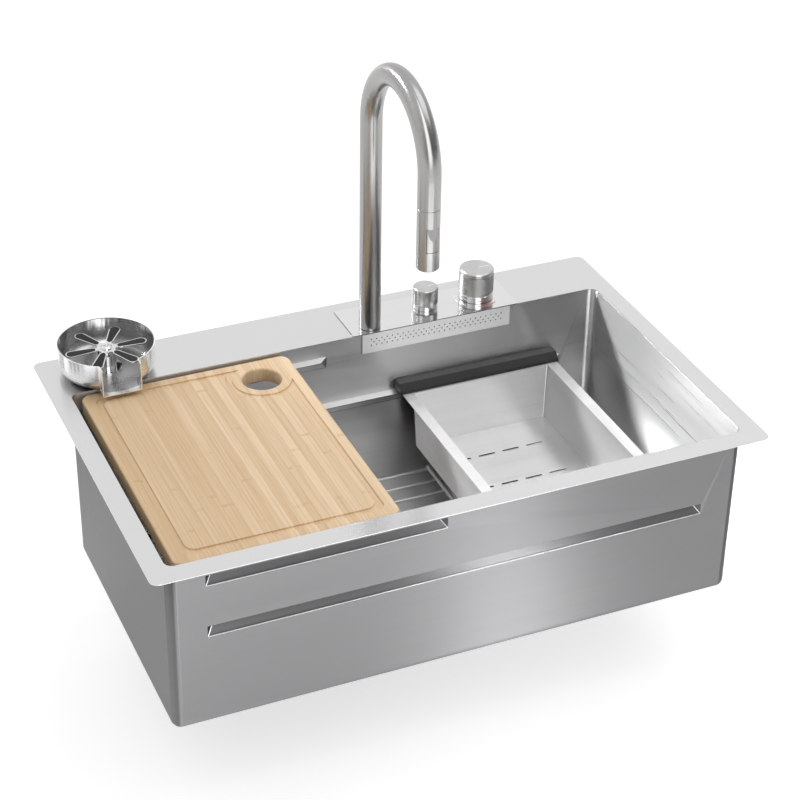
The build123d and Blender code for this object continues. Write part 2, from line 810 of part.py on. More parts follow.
# Diverter knob and stem
diverter_low = diverter_ring_top + KNOB_GAP
diverter_top = panel_top + DIVERTER_HEIGHT
diverter_socket = diverter_low + STEM_GRIP
with BuildPart() as diverter_stem:
    with BuildSketch(Plane.XY.offset(panel_top - STEM_DEPTH)):
        with Locations(diverter):
            Circle(DIVERTER_STEM)
    extrude(amount=diverter_socket - panel_top + STEM_DEPTH)
save(diverter_stem, "diverter_stem")
diverter_blank = turned(
    [
        (DIVERTER_STEM + RUNNING, diverter_low),
        (DIVERTER_RADIUS, diverter_low),
        (DIVERTER_RADIUS, diverter_top - KNOB_GAP),
        (DIVERTER_RADIUS - KNOB_GAP, diverter_top),
        (0, diverter_top),
        (0, diverter_socket),
        (DIVERTER_STEM + RUNNING, diverter_socket),
    ],
    diverter,
).part
with BuildPart() as diverter_knob:
    add(diverter_blank)
    with Locations((diverter[0] + DIVERTER_RADIUS - TICK_LENGTH, diverter[1], diverter_top)):
        Box(TICK_LENGTH, TICK_WIDTH, 2 * TICK_DEPTH, mode=Mode.SUBTRACT)
save(diverter_knob, "diverter_knob")

# Mixer grip, cap and stem; the cap's spigot plugs the grip
mixer_low = mixer_ring_top + KNOB_GAP
mixer_top = panel_top + MIXER_HEIGHT
cap_low = mixer_top - MIXER_CAP_HEIGHT
mixer_socket = mixer_low + STEM_GRIP
with BuildPart() as mixer_stem:
    with BuildSketch(Plane.XY.offset(panel_top - STEM_DEPTH)):
        with Locations(mixer):
            Circle(MIXER_STEM)
    extrude(amount=mixer_socket - panel_top + STEM_DEPTH)
save(mixer_stem, "mixer_stem")
mixer_grip = turned(
    [
        (MIXER_STEM + RUNNING, mixer_low),
        (MIXER_RADIUS, mixer_low),
        (MIXER_RADIUS, cap_low),
        (0, cap_low),
        (0, mixer_socket),
        (MIXER_STEM + RUNNING, mixer_socket),
    ],
    mixer,
)
save(mixer_grip, "mixer_grip")
cap_neck = MIXER_CAP_HEIGHT / 4
cap_edge = MIXER_CAP_HEIGHT / 4
cap_blank = turned(
    [
        (0, cap_low),
        (MIXER_RADIUS - cap_neck, cap_low),
        (MIXER_RADIUS - cap_neck, cap_low + cap_neck),
        (MIXER_RADIUS, cap_low + cap_neck),
        (MIXER_RADIUS, mixer_top - cap_edge),
        (MIXER_RADIUS - cap_edge / 3, mixer_top - cap_edge / 3),
        (MIXER_RADIUS - cap_edge, mixer_top),
        (0, mixer_top),
    ],
    mixer,
).part
with BuildPart() as mixer_cap:
    add(cap_blank)
    with Locations((mixer[0] + MIXER_RADIUS - TICK_LENGTH, mixer[1], mixer_top)):
        Box(TICK_LENGTH, TICK_WIDTH, 2 * TICK_DEPTH, mode=Mode.SUBTRACT)
save(mixer_cap, "mixer_cap")


def arc_mark(start):
    """A thin painted arc on the panel, centred on the mixer knob."""
    outer = MARK_RADIUS + MARK_WIDTH
    with BuildPart() as mark:
        with BuildSketch(Plane(origin=(mixer[0], mixer[1], panel_top))):
            with BuildLine():
                inner_arc = CenterArc((0, 0), MARK_RADIUS, start, MARK_ARC)
                outer_arc = CenterArc((0, 0), outer, start, MARK_ARC)
                Line(inner_arc @ 0, outer_arc @ 0)
                Line(inner_arc @ 1, outer_arc @ 1)
            make_face()
        extrude(amount=MARK_THICKNESS)
    return mark


# Red and blue arcs in front of the mixer knob
hot_mark = arc_mark(HOT_MARK_START)
save(hot_mark, "hot_mark")
cold_mark = arc_mark(COLD_MARK_START)
save(cold_mark, "cold_mark")

# Swivel post: post inside the tap's foot, threaded shank through the deck, bored for the hose
tube_bore = TUBE_RADIUS - TUBE_WALL
post_radius = tube_bore - RUNNING
shank_low = deck_under - SHANK_LENGTH
swivel_post = turned(
    [
        (SHANK_BORE, shank_low),
        (SHANK_RADIUS, shank_low),
        (SHANK_RADIUS, panel_top),
        (post_radius, panel_top),
        (post_radius, panel_top + SWIVEL_POST),
        (SHANK_BORE, panel_top + SWIVEL_POST),
    ],
    tap,
)
save(swivel_post, "swivel_post")
tube_foot = panel_top + SWIVEL_RING
swivel_ring = collar(tube_bore + SEATED, TUBE_RADIUS - SEATED, panel_top, tube_foot, tap)
save(swivel_ring, "swivel_ring")
washer_low = deck_under - WASHER_THICKNESS
shank_hole = SHANK_RADIUS + SEATED
riser_washer = collar(shank_hole, WASHER_RADIUS, washer_low, deck_under, tap)
save(riser_washer, "riser_washer")
riser_nut = hex_nut(shank_hole, NUT_RADIUS, washer_low - NUT_HEIGHT, washer_low, tap)
save(riser_nut, "riser_nut")

# Gooseneck: one bent tube, up, over and down to the spray head
arch_z = deck_top + ARCH_HEIGHT
joint_z = deck_top + JOINT_HEIGHT
with BuildPart() as gooseneck:
    with BuildLine(Plane.YZ.offset(tap[0])) as neck_path:
        Line((tap[1], tube_foot), (tap[1], arch_z))
        CenterArc((tap[1] - ARCH_RADIUS, arch_z), ARCH_RADIUS, 0, 180)
        Line((head[1], arch_z), (head[1], joint_z))
    with BuildSketch(Plane.XY.offset(tube_foot)):
        with Locations(tap):
            Circle(TUBE_RADIUS)
            Circle(tube_bore, mode=Mode.SUBTRACT)
    sweep(path=neck_path.wire())
save(gooseneck, "gooseneck")

# Plastic guide in the tube's mouth
docking_collar = collar(COLLAR_BORE, tube_bore - SEATED, joint_z, joint_z + COLLAR_LENGTH, head)
save(docking_collar, "docking_collar")

# Spray head shell: hollow, with a nose for the guide and a window for the button
head_top = joint_z - HEAD_GAP
head_low = head_top - HEAD_LENGTH
head_inside = TUBE_RADIUS - HEAD_WALL
nose_radius = COLLAR_BORE - LOOSE
button_z = head_top - BUTTON_DROP
pin_y = head[1] - TUBE_RADIUS + BUTTON_THICKNESS * 3 / 4
pin_half = BUTTON_WIDTH / 2 + BUTTON_SIDE_GAP + PIN_BITE
pin_plane = Plane(origin=(head[0] - pin_half, pin_y, button_z), x_dir=(0, 1, 0), z_dir=(1, 0, 0))
head_blank = turned(
    [
        (head_inside, head_low),
        (TUBE_RADIUS - HEAD_CHAMFER, head_low),
        (TUBE_RADIUS, head_low + HEAD_CHAMFER),
        (TUBE_RADIUS, head_top - HEAD_GAP),
        (TUBE_RADIUS - HEAD_GAP, head_top),
        (nose_radius, head_top),
        (nose_radius, head_top + NOSE_LENGTH),
        (NOSE_BORE, head_top + NOSE_LENGTH),
        (NOSE_BORE, head_top - HEAD_ROOF),
        (head_inside, head_top - HEAD_ROOF),
    ],
    head,
).part
with BuildPart() as spray_body:
    add(head_blank)
    with Locations((head[0], head[1] - TUBE_RADIUS, button_z)):
        Box(
            BUTTON_WIDTH + 2 * BUTTON_SIDE_GAP,
            3 * BUTTON_THICKNESS,
            BUTTON_HEIGHT + 2 * BUTTON_GAP,
            mode=Mode.SUBTRACT,
        )
    with BuildSketch(pin_plane):
        Circle(BUTTON_PIN + RUNNING)
    extrude(amount=2 * pin_half, mode=Mode.SUBTRACT)
save(spray_body, "spray_body")

# Pivot pin of the button
with BuildPart() as rocker_pin:
    with BuildSketch(pin_plane):
        Circle(BUTTON_PIN)
    extrude(amount=2 * pin_half)
save(rocker_pin, "rocker_pin")

# Rocker button: lower half flush with the head, upper half sloping inwards, bored for the pin
tilt_depth = BUTTON_HEIGHT / 2 * tan(radians(BUTTON_TILT))
button_front = head[1] - TUBE_RADIUS
button_back = button_front + BUTTON_THICKNESS
with BuildPart() as rocker_button:
    with BuildSketch(Plane.XY.offset(button_z - BUTTON_HEIGHT / 2)):
        with Locations(head):
            Circle(TUBE_RADIUS)
    extrude(amount=BUTTON_HEIGHT)
    with Locations((head[0], button_front, button_z)):
        Box(
            BUTTON_WIDTH,
            BUTTON_THICKNESS,
            BUTTON_HEIGHT,
            align=(Align.CENTER, Align.MIN, Align.CENTER),
            mode=Mode.INTERSECT,
        )
    with BuildSketch(Plane.YZ.offset(head[0] - BUTTON_WIDTH)):
        with BuildLine():
            Polyline(
                (button_front - TUBE_RADIUS, button_z),
                (button_front, button_z),
                (button_front + tilt_depth, button_z + BUTTON_HEIGHT / 2),
                (button_front - TUBE_RADIUS, button_z + BUTTON_HEIGHT / 2),
                close=True,
            )
        make_face()
    extrude(amount=2 * BUTTON_WIDTH, mode=Mode.SUBTRACT)
    with BuildSketch(pin_plane):
        Circle(BUTTON_PIN + RUNNING)
    extrude(amount=2 * pin_half, mode=Mode.SUBTRACT)
save(rocker_button, "rocker_button")

# Nozzle plate and aerator in the head's end
spray_low = head_low + SPRAY_RECESS
spray_radius = head_inside - SEATED
with BuildPart() as spray_face:
    with BuildSketch(Plane.XY.offset(spray_low)):
        with Locations(head):
            Circle(spray_radius)
            Circle(AERATOR_RADIUS + SEATED, mode=Mode.SUBTRACT)
            with PolarLocations((spray_radius + AERATOR_RADIUS) / 2, 12):
                Circle(JET_RADIUS, mode=Mode.SUBTRACT)
    extrude(amount=SPRAY_THICKNESS)
save(spray_face, "spray_face")
with BuildPart() as aerator:
    with BuildSketch(Plane.XY.offset(spray_low)):
        with Locations(head):
            Circle(AERATOR_RADIUS)
            with PolarLocations(AERATOR_RADIUS / 2, 6):
                Circle(JET_RADIUS, mode=Mode.SUBTRACT)
    extrude(amount=SPRAY_THICKNESS)
save(aerator, "aerator")

# Rinser foot ring
cup_low = deck_top + RINSER_BASE
cup_bed = cup_low + RINSER_WALL
cup_rim = deck_top + RINSER_RIM
rinser_base = collar(rinser_hole, RINSER_BASE_RADIUS, deck_top, cup_low, rinser)
save(rinser_base, "rinser_base")


def cup_block(inset, front, low, high):
    """A round cup with a rounded lower edge and a square spout to the front, inset by a wall."""
    radius = RINSER_RADIUS - inset
    half_width = SPOUT_HALF_WIDTH - inset
    with BuildPart() as block:
        with BuildSketch(Plane.XY.offset(low)):
            with Locations(rinser):
                Circle(radius)
        extrude(amount=high - low)
        fillet(block.faces().sort_by(Axis.Z)[0].edges(), RINSER_COVE - inset)
        with BuildSketch(Plane.XZ.offset(-rinser[1])) as section:
            with Locations((rinser[0], (low + high) / 2)):
                Rectangle(2 * half_width, high - low)
            fillet(section.vertices().sort_by(Axis.Z)[:2], SPOUT_BEND - inset)
        extrude(amount=rinser[1] - front)
        join_y = rinser[1] - sqrt(radius**2 - half_width**2)
        joins = block.edges().filter_by(Axis.Z).filter_by(lambda e: abs(e.center().Y - join_y) < 0.01)
        fillet(joins, SPOUT_BLEND)
    return block.part


# Rinser cup: pressed cup with an open spout over the bowl
lip_y = rinser[1] - SPOUT_REACH
cup_outside = cup_block(0, lip_y, cup_low, cup_rim)
cup_cavity = cup_block(RINSER_WALL, lip_y - RINSER_WALL, cup_bed, cup_rim + RINSER_WALL)
with BuildPart() as rinser_cup:
    add(cup_outside)
    add(cup_cavity, mode=Mode.SUBTRACT)
    with Locations((rinser[0], rinser[1], cup_low)):
        Cylinder(rinser_hole, 4 * RINSER_WALL, mode=Mode.SUBTRACT)
save(rinser_cup, "rinser_cup")

# Rinser valve: foot on the cup's floor, tower with the spring bore, shank through the deck
tower_top = cup_bed + TOWER_HEIGHT
spring_low = cup_bed + TOWER_FOOT_HEIGHT
tower_ceiling = tower_top - TOWER_ROOF
rinser_low = deck_under - RINSER_SHANK_LENGTH
stem_hole = STEM_RADIUS + RUNNING
rinser_valve = turned(
    [
        (RINSER_SHANK_BORE, rinser_low),
        (SHANK_RADIUS - LOOSE, rinser_low),
        (SHANK_RADIUS - LOOSE, rinser_low + RINSER_STUB_LENGTH),
        (SHANK_RADIUS, rinser_low + RINSER_STUB_LENGTH),
        (SHANK_RADIUS, cup_bed),
        (TOWER_FOOT, cup_bed),
        (TOWER_FOOT, cup_bed + TOWER_FOOT_HEIGHT),
        (TOWER_RADIUS, cup_bed + TOWER_FOOT_HEIGHT),
        (TOWER_RADIUS, tower_top),
        (stem_hole, tower_top),
        (stem_hole, tower_ceiling),
        (SPRING_BORE + LOOSE, tower_ceiling),
        (SPRING_BORE + LOOSE, spring_low),
        (RINSER_SHANK_BORE, spring_low),
    ],
    rinser,
)
save(rinser_valve, "rinser_valve")

# Washer and nut under the deck
rinser_washer = collar(shank_hole, RINSER_NUT_RADIUS, washer_low, deck_under, rinser)
save(rinser_washer, "rinser_washer")
rinser_nut = hex_nut(shank_hole, RINSER_NUT_RADIUS, washer_low - NUT_HEIGHT, washer_low, rinser)
save(rinser_nut, "rinser_nut")

# Return spring, drawn as a plain sleeve between the bore's floor and the stem's collar
spring_top = spring_low + SPRING_LENGTH
rinser_spring = collar(STEM_RADIUS + 2 * LOOSE, SPRING_BORE - LOOSE, spring_low, spring_top, rinser)
save(rinser_spring, "rinser_spring")

# Stem: collar on the spring, shaft through the tower's roof up to the star's hub
star_top = cup_rim - STAR_DROP
star_low = star_top - STAR_THICKNESS
rinser_stem = turned(
    [
        (0, spring_top),
        (SPRING_BORE - LOOSE, spring_top),
        (SPRING_BORE - LOOSE, spring_top + STEM_COLLAR),
        (STEM_RADIUS, spring_top + STEM_COLLAR),
        (STEM_RADIUS, star_low),
        (0, star_low),
    ],
    rinser,
)
save(rinser_stem, "rinser_stem")


def arm_outline(grow):
    """A tapered arm with round ends along +X, grown by a border."""
    with BuildSketch(mode=Mode.PRIVATE) as arm:
        with Locations((PAD_IN, 0)):
            Circle(PAD_IN_RADIUS + grow)
        with Locations((PAD_OUT, 0)):
            Circle(PAD_OUT_RADIUS + grow)
        make_hull()
    return arm.sketch


# Star: hub with six framed arms
arm_frame = arm_outline(STAR_FRAME)
arm_window = arm_outline(0)
arm_pad = arm_outline(-SEATED / 2)
hub_plane = Plane(origin=(rinser[0], rinser[1], star_low))
with BuildPart() as rinser_star:
    with BuildSketch(hub_plane):
        Circle(STAR_HUB)
        with PolarLocations(0, ARM_COUNT):
            Rectangle(2 * PAD_IN, 2 * PAD_IN_RADIUS)
            add(arm_frame)
        with PolarLocations(0, ARM_COUNT):
            add(arm_window, mode=Mode.SUBTRACT)
    extrude(amount=STAR_THICKNESS)
save(rinser_star, "rinser_star")

# Rubber pads in the arms
with BuildPart() as rinser_pads:
    with BuildSketch(hub_plane.offset(-PAD_PROUD)):
        with PolarLocations(0, ARM_COUNT):
            add(arm_pad)
    extrude(amount=STAR_THICKNESS + 2 * PAD_PROUD)
save(rinser_pads, "rinser_pads")

# Cross-head screw on the hub
screw_blank = turned(
    [
        (0, star_top),
        (SCREW_RADIUS, star_top),
        (SCREW_RADIUS, star_top + SCREW_HEIGHT / 3),
        (SCREW_RADIUS * 2 / 3, star_top + SCREW_HEIGHT),
        (0, star_top + SCREW_HEIGHT),
    ],
    rinser,
).part
with BuildPart() as rinser_screw:
    add(screw_blank)
    with Locations((rinser[0], rinser[1], star_top + SCREW_HEIGHT)):
        Box(SCREW_RADIUS, SCREW_SLOT, SCREW_HEIGHT, mode=Mode.SUBTRACT)
        Box(SCREW_SLOT, SCREW_RADIUS, SCREW_HEIGHT, mode=Mode.SUBTRACT)
save(rinser_screw, "rinser_screw")

# Cutting board: rests on the upper ledges, with a grip hole and a juice groove
board_left = open_left + BOARD_FROM_WALL
board_right = board_left + BOARD_WIDTH
board_x = (board_left + board_right) / 2
board_length = open_width - 2 * BOARD_CLEARANCE
board_top = upper_ledge + BOARD_THICKNESS
grip = (board_right - GRIP_FROM_RIGHT, open_rear - BOARD_CLEARANCE - GRIP_FROM_REAR)


def groove_field(inset, hole_margin):
    """The board's inner field, kept clear of the grip hole."""
    with BuildSketch(mode=Mode.PRIVATE) as field:
        with Locations((board_x, middle_y)):
            RectangleRounded(BOARD_WIDTH - 2 * inset, board_length - 2 * inset, BOARD_CORNER)
        with Locations(grip):
            Circle(GRIP_HOLE + hole_margin, mode=Mode.SUBTRACT)
            notch = (Align.MIN, Align.MIN)
            Rectangle(BOARD_WIDTH, BOARD_WIDTH, align=notch, mode=Mode.SUBTRACT)
    return field.sketch


outer_field = groove_field(GROOVE_INSET, GROOVE_ROUND_HOLE)
inner_field = groove_field(GROOVE_INSET + GROOVE_WIDTH, GROOVE_ROUND_HOLE + GROOVE_WIDTH)
with BuildPart() as cutting_board:
    with BuildSketch(Plane.XY.offset(upper_ledge)):
        with Locations((board_x, middle_y)):
            RectangleRounded(BOARD_WIDTH, board_length, BOARD_CORNER)
        with Locations(grip):
            Circle(GRIP_HOLE, mode=Mode.SUBTRACT)
    extrude(amount=BOARD_THICKNESS)
    top_edges = cutting_board.faces().sort_by(Axis.Z)[-1].edges()
    fillet(top_edges, BOARD_EDGE)
    with BuildSketch(Plane.XY.offset(board_top)):
        add(outer_field)
        add(inner_field, mode=Mode.SUBTRACT)
    extrude(amount=-GROOVE_DEPTH, mode=Mode.SUBTRACT)
save(cutting_board, "cutting_board")

# Colander tray: flanged tray with sloping walls and slots in its floor
colander_x = open_right - COLANDER_FROM_RIGHT
tray_top = deck_top - COLANDER_DROP
tray_floor = tray_top - COLANDER_DEPTH
flange_length = open_width - 2 * COLANDER_END_GAP
tray_length = flange_length - 2 * COLANDER_LIP + COLANDER_WALL
tray_width = COLANDER_FLANGE - 2 * COLANDER_LIP


def tray_block(grow, low, high):
    """A tapered block the size of the tray's inside, grown by a wall."""
    with BuildPart() as block:
        for level, shrink in ((high, 0), (low, COLANDER_DRAFT)):
            with BuildSketch(Plane.XY.offset(level)):
                with Locations((colander_x, middle_y)):
                    RectangleRounded(
                        tray_width + 2 * (grow - shrink),
                        tray_length + 2 * (grow - shrink),
                        COLANDER_CORNER + grow,
                    )
        loft(ruled=True)
    return block.part


tray_outside = tray_block(COLANDER_WALL, tray_floor - COLANDER_WALL, tray_top)
tray_inside = tray_block(0, tray_floor, tray_top)
with BuildPart() as colander_tray:
    with BuildSketch(Plane.XY.offset(tray_top - COLANDER_WALL)):
        with Locations((colander_x, middle_y)):
            RectangleRounded(COLANDER_FLANGE, flange_length, PANEL_CORNER)
    extrude(amount=COLANDER_WALL)
    add(tray_outside)
    add(tray_inside, mode=Mode.SUBTRACT)
    with BuildSketch(Plane.XY.offset(tray_floor)):
        with Locations((colander_x, middle_y)):
            with GridLocations(SLOT_PITCH_X, SLOT_PITCH_Y, 4, 4):
                SlotOverall(SLOT_LENGTH, SLOT_WIDTH)
    extrude(amount=-COLANDER_WALL, mode=Mode.SUBTRACT)
save(colander_tray, "colander_tray")


def rail(wall, inward):
    """A plastic rail on the lower ledge, slotted for the tray's flange."""
    back = wall + inward * RAIL_CLEARANCE
    front = back + inward * RAIL_DEPTH
    top = lower_ledge + RAIL_HEIGHT
    flange_edge = middle_y - inward * (flange_length / 2 + SEATED)
    slot_low = tray_top - COLANDER_WALL - SEATED / 2
    slot_top = tray_top + SEATED / 2
    length = COLANDER_FLANGE + 2 * RAIL_OVERHANG
    with BuildPart() as piece:
        with BuildSketch(Plane.YZ.offset(colander_x - length / 2)):
            with BuildLine():
                Polyline(
                    (back, lower_ledge),
                    (back, top),
                    (front - inward * RAIL_CHAMFER, top),
                    (front, top - RAIL_CHAMFER),
                    (front, slot_top),
                    (flange_edge, slot_top),
                    (flange_edge, slot_low),
                    (front, slot_low),
                    (front, lower_ledge),
                    close=True,
                )
            make_face()
        extrude(amount=length)
    return piece


# Rails at both ends of the tray
colander_rear_rail = rail(open_rear, -1)
save(colander_rear_rail, "colander_rear_rail")
colander_front_rail = rail(open_front, 1)
save(colander_front_rail, "colander_front_rail")

# Bottom grid: frame, wires along X, cross rods on top and a ring round the drain
grid_z = floor_top + GRID_HEIGHT
grid_length = open_length - 2 * GRID_END_GAP
grid_width = open_width - 2 * GRID_END_GAP
grid_pitch = grid_width / GRID_SPACES
cross_z = grid_z + WIRE_RADIUS + CROSS_RADIUS - WELD_DEPTH
with BuildSketch(Plane(origin=(0, middle_y, grid_z)), mode=Mode.PRIVATE) as frame_outline:
    RectangleRounded(grid_length, grid_width, GRID_CORNER)
frame_path = frame_outline.sketch.wire()
cross_places = [(0, 0)]
for cross_x in (drain[0] - CROSS_FROM_DRAIN, drain[0] + CROSS_FROM_DRAIN):
    cross_places.append((cross_x, 0))
    cross_places.append((-cross_x, 0))
with BuildPart() as grid_wires:
    with Locations((0, middle_y, grid_z)):
        with GridLocations(0, grid_pitch, 1, GRID_SPACES - 1):
            Cylinder(WIRE_RADIUS, grid_length, rotation=(0, 90, 0))
    with Locations((drain[0], drain[1], grid_z)):
        Cylinder(RING_RADIUS, 4 * WIRE_RADIUS, mode=Mode.SUBTRACT)
        Torus(RING_RADIUS, FRAME_RADIUS)
    with Locations((0, middle_y, cross_z)):
        with Locations(cross_places):
            Cylinder(CROSS_RADIUS, grid_width, rotation=(90, 0, 0))
    with BuildSketch(Plane(origin=frame_path @ 0, z_dir=frame_path % 0)):
        Circle(FRAME_RADIUS)
    sweep(path=frame_path)
save(grid_wires, "grid_wires")

# Rubber feet under the frame, cradling its front and rear rods
foot_span = grid_length - 2 * FOOT_INSET
with BuildPart() as grid_feet:
    with Locations((0, middle_y, floor_top)):
        with GridLocations(foot_span / 2, grid_width, 3, 2):
            Cylinder(FOOT_RADIUS, GRID_HEIGHT, align=(Align.CENTER, Align.CENTER, Align.MIN))
    with Locations((0, middle_y, grid_z)):
        with GridLocations(0, grid_width, 1, 2):
            Cylinder(
                FRAME_RADIUS + SEATED, grid_length, rotation=(0, 90, 0), mode=Mode.SUBTRACT
            )
save(grid_feet, "grid_feet")
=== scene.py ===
import json
import math
import bpy
from mathutils import Matrix, Vector


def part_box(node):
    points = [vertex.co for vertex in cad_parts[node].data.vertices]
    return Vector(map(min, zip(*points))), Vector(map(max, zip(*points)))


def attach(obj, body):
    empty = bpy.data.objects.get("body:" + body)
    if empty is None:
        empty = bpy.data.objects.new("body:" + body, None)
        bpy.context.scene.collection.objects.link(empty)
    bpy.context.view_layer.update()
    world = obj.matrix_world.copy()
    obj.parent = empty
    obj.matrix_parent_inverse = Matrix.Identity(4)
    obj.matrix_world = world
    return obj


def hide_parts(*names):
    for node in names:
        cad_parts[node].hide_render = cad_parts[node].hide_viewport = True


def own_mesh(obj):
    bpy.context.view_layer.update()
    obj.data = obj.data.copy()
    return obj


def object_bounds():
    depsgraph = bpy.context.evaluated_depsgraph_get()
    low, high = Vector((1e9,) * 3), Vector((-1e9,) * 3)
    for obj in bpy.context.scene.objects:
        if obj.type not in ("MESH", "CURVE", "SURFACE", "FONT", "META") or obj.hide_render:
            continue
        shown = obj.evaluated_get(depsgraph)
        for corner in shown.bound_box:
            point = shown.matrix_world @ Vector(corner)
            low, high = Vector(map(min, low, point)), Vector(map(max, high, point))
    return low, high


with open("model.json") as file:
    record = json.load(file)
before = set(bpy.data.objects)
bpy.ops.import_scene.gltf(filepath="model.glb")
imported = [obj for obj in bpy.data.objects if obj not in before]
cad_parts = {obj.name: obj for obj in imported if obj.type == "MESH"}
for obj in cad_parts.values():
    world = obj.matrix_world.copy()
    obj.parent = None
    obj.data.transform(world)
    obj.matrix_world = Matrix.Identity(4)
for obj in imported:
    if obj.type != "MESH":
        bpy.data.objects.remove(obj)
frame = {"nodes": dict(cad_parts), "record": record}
nodes = frame["nodes"]
scene = bpy.context.scene
cad_low, cad_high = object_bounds()
scene.view_settings.view_transform = "Standard"

# Sizes shared with the solids, in metres
BOWL_MIDDLE_Y = -0.0295
BOWL_CORE_X = 0.3410
BOWL_CORE_Y = 0.1745
BOWL_SKIN = 0.0106
BOWL_FLOOR = -0.2222
LEDGE_CORE_Y = -0.0025
RECESS_LEVELS = (-0.0192, -0.0324, -0.0877, -0.1009)
RECESS_ENDS = (-0.3086, -0.0254, 0.3046)
RECESS_REACH = 0.0007
FRONT_WALL_Y = -0.2154
REAR_WALL_Y = 0.1564
GROOVE_RISE = 0.0132
GROOVE_DEPTH = 0.0099
TRAY_FLOOR = -0.1597
BOARD_LEFT = -0.3405
ARCH_Y = 0.086
ARCH_Z = 0.2872
TAP_AT = (0.041, 0.171)
MIXER_AT = (0.1975, 0.1915)
DIVERTER_AT = (0.126, 0.1915)
RINSER_AT = (-0.2935, 0.1922)
CUP_SKIN = 0.0578
CUP_RIM = 0.0427
CUP_LIP = 0.1294

# Limits that sort faces by the direction in which they look
FLAT_FACE = 0.7
HALF_TURNED = 0.5
NOT_UPWARD = 0.3
CORNER_TURN = 0.1
TOP_FACE = 0.9

# The part of a noise's range that most of it fills
NOISE_START, NOISE_END = 0.3, 0.7

# Grain of brushed sheet: repeats per metre along and across it, and how it shows
GRAIN_ALONG, GRAIN_ACROSS = 4.0, 1100.0
BAND_ALONG, BAND_ACROSS = 2.2, 120.0
GRAIN_SHARE, BAND_SHARE = 0.6, 0.4
SMOOTHER, ROUGHER = 1.2, 1.4
GRAIN_BUMP, GRAIN_HEIGHT = 2.0, 0.0002

# Tones of the bowl, the tray and the rinser's cup, with painted light and shade among them
# Painted shade: the bowl's upright inner walls darken from the lower level up to the upper one
BOWL_SHADE_LEVELS = (-0.15, -0.05)
BOWL_UPPER_SHADE = (0.56, 0.56, 0.56)
# Painted shade: the bowl's outside is the same steel as its inside, painted far darker, with its grazing
# gloss dulled
BOWL_OUTSIDE_SHADE = (0.31, 0.31, 0.315)
BOWL_OUTSIDE_ROUGH = 0.34
BOWL_OUTSIDE_EDGE_SHADE = (0.5, 0.5, 0.5)
LEVEL_ROUGHER = 0.18
CORNER_ROUGHER = 0.28
DEEP_LEVELS = (-0.16, -0.10)
DEEP_ROUGHER = 0.36
# Painted shade: the tray's upright faces that look along X, beyond this x, are darker
TRAY_SHADE_START, TRAY_SHADE_TONE = 0.18, 0.5
# Painted shade: the edges of the tray's slots are near black
SLOT_SHADE = 0.03
# Painted light and shade on the rinser's cup: a darker inside, a bright front rim and lip, a dark rear rim
CUP_INSIDE_SHADE = (0.46, 0.46, 0.457)
CUP_OUTSIDE = (0.88, 0.88, 0.875)
CUP_EDGE_HIGHLIGHT = (0.96, 0.96, 0.96)
CUP_REAR_EDGE_SHADE = (0.20, 0.20, 0.20)
CUP_RIM_TURN = (-0.02, 0.02)

# Grain of satin steel: repeats per metre along X, Y and Z, and how it shows
DRAWN_TUBE = (300.0, 300.0, 8.0)
TURNED = (60.0, 60.0, 900.0)
EVEN = (200.0, 200.0, 200.0)
ALONG_LIP = (40.0, 900.0, 900.0)
DRAWN_CUP = (30.0, 30.0, 700.0)
COARSE_EVEN = (120.0, 120.0, 120.0)
SATIN_SHADE = (0.94, 1.05)
SATIN_SMOOTHER, SATIN_ROUGHER = 0.04, 0.05
SATIN_SHARE, SMUDGE_SHARE = 0.7, 0.3
SMUDGE_SCALE = 35.0
SATIN_BUMP = 0.05

# Skin of moulded plastic and rubber
FINE_SKIN, FINER_SKIN = 700.0, 900.0
CLOUD_WIDTH = 30.0
CLOUD_DARKER, CLOUD_LIGHTER, CLOUD_LIFT = 0.7, 1.25, 0.004
SKIN_ROUGH_SPREAD = 0.08
SKIN_HEIGHT = 0.0004

# Bamboo: widths in metres, repeats per metre along X, Y and Z, tones, and how strong each mark is
STRIP_WIDTH = 0.0115
STRIP_UNEVEN = 0.75
STRIP_OFFSET = 3.0
# Painted shade: the board darkens towards its left edge over this width
LEFT_SHADE_WIDTH, LEFT_SHADE_STRENGTH = 0.13, 0.75
STREAK_REPEATS = (420.0, 5.0, 300.0)
FIBRE_REPEATS = (1900.0, 22.0, 1200.0)
DARK_STREAK, PALE_STREAK, DARK_FIBRE = 0.42, 0.30, 0.34
RING_REPEAT, RING_OFFSET = 3.1, 11.0
RING_HALF_WIDTH, RING_STRENGTH = 0.012, 0.5
BLOTCH_SCALE = 170.0
GLUE_WIDTH, GLUE_STRENGTH, GLUE_SUNK = 0.05, 0.42, 0.5
WOOD_ROUGH = (0.40, 0.56)
WOOD_BUMP, WOOD_HEIGHT = 0.12, 0.0003
BAMBOO = (0.70, 0.52, 0.33)
BAMBOO_PALE, BAMBOO_DARK = (0.86, 0.665, 0.45), (0.73, 0.525, 0.32)
BAMBOO_LEFT_SHADE = (0.63, 0.44, 0.25)
STREAK_DARK_TONE, STREAK_PALE_TONE = (0.48, 0.30, 0.15), (0.86, 0.70, 0.51)
FIBRE_TONE = (0.47, 0.29, 0.14)
RING_TONE = (0.46, 0.285, 0.14)
GLUE_TONE = (0.52, 0.335, 0.175)


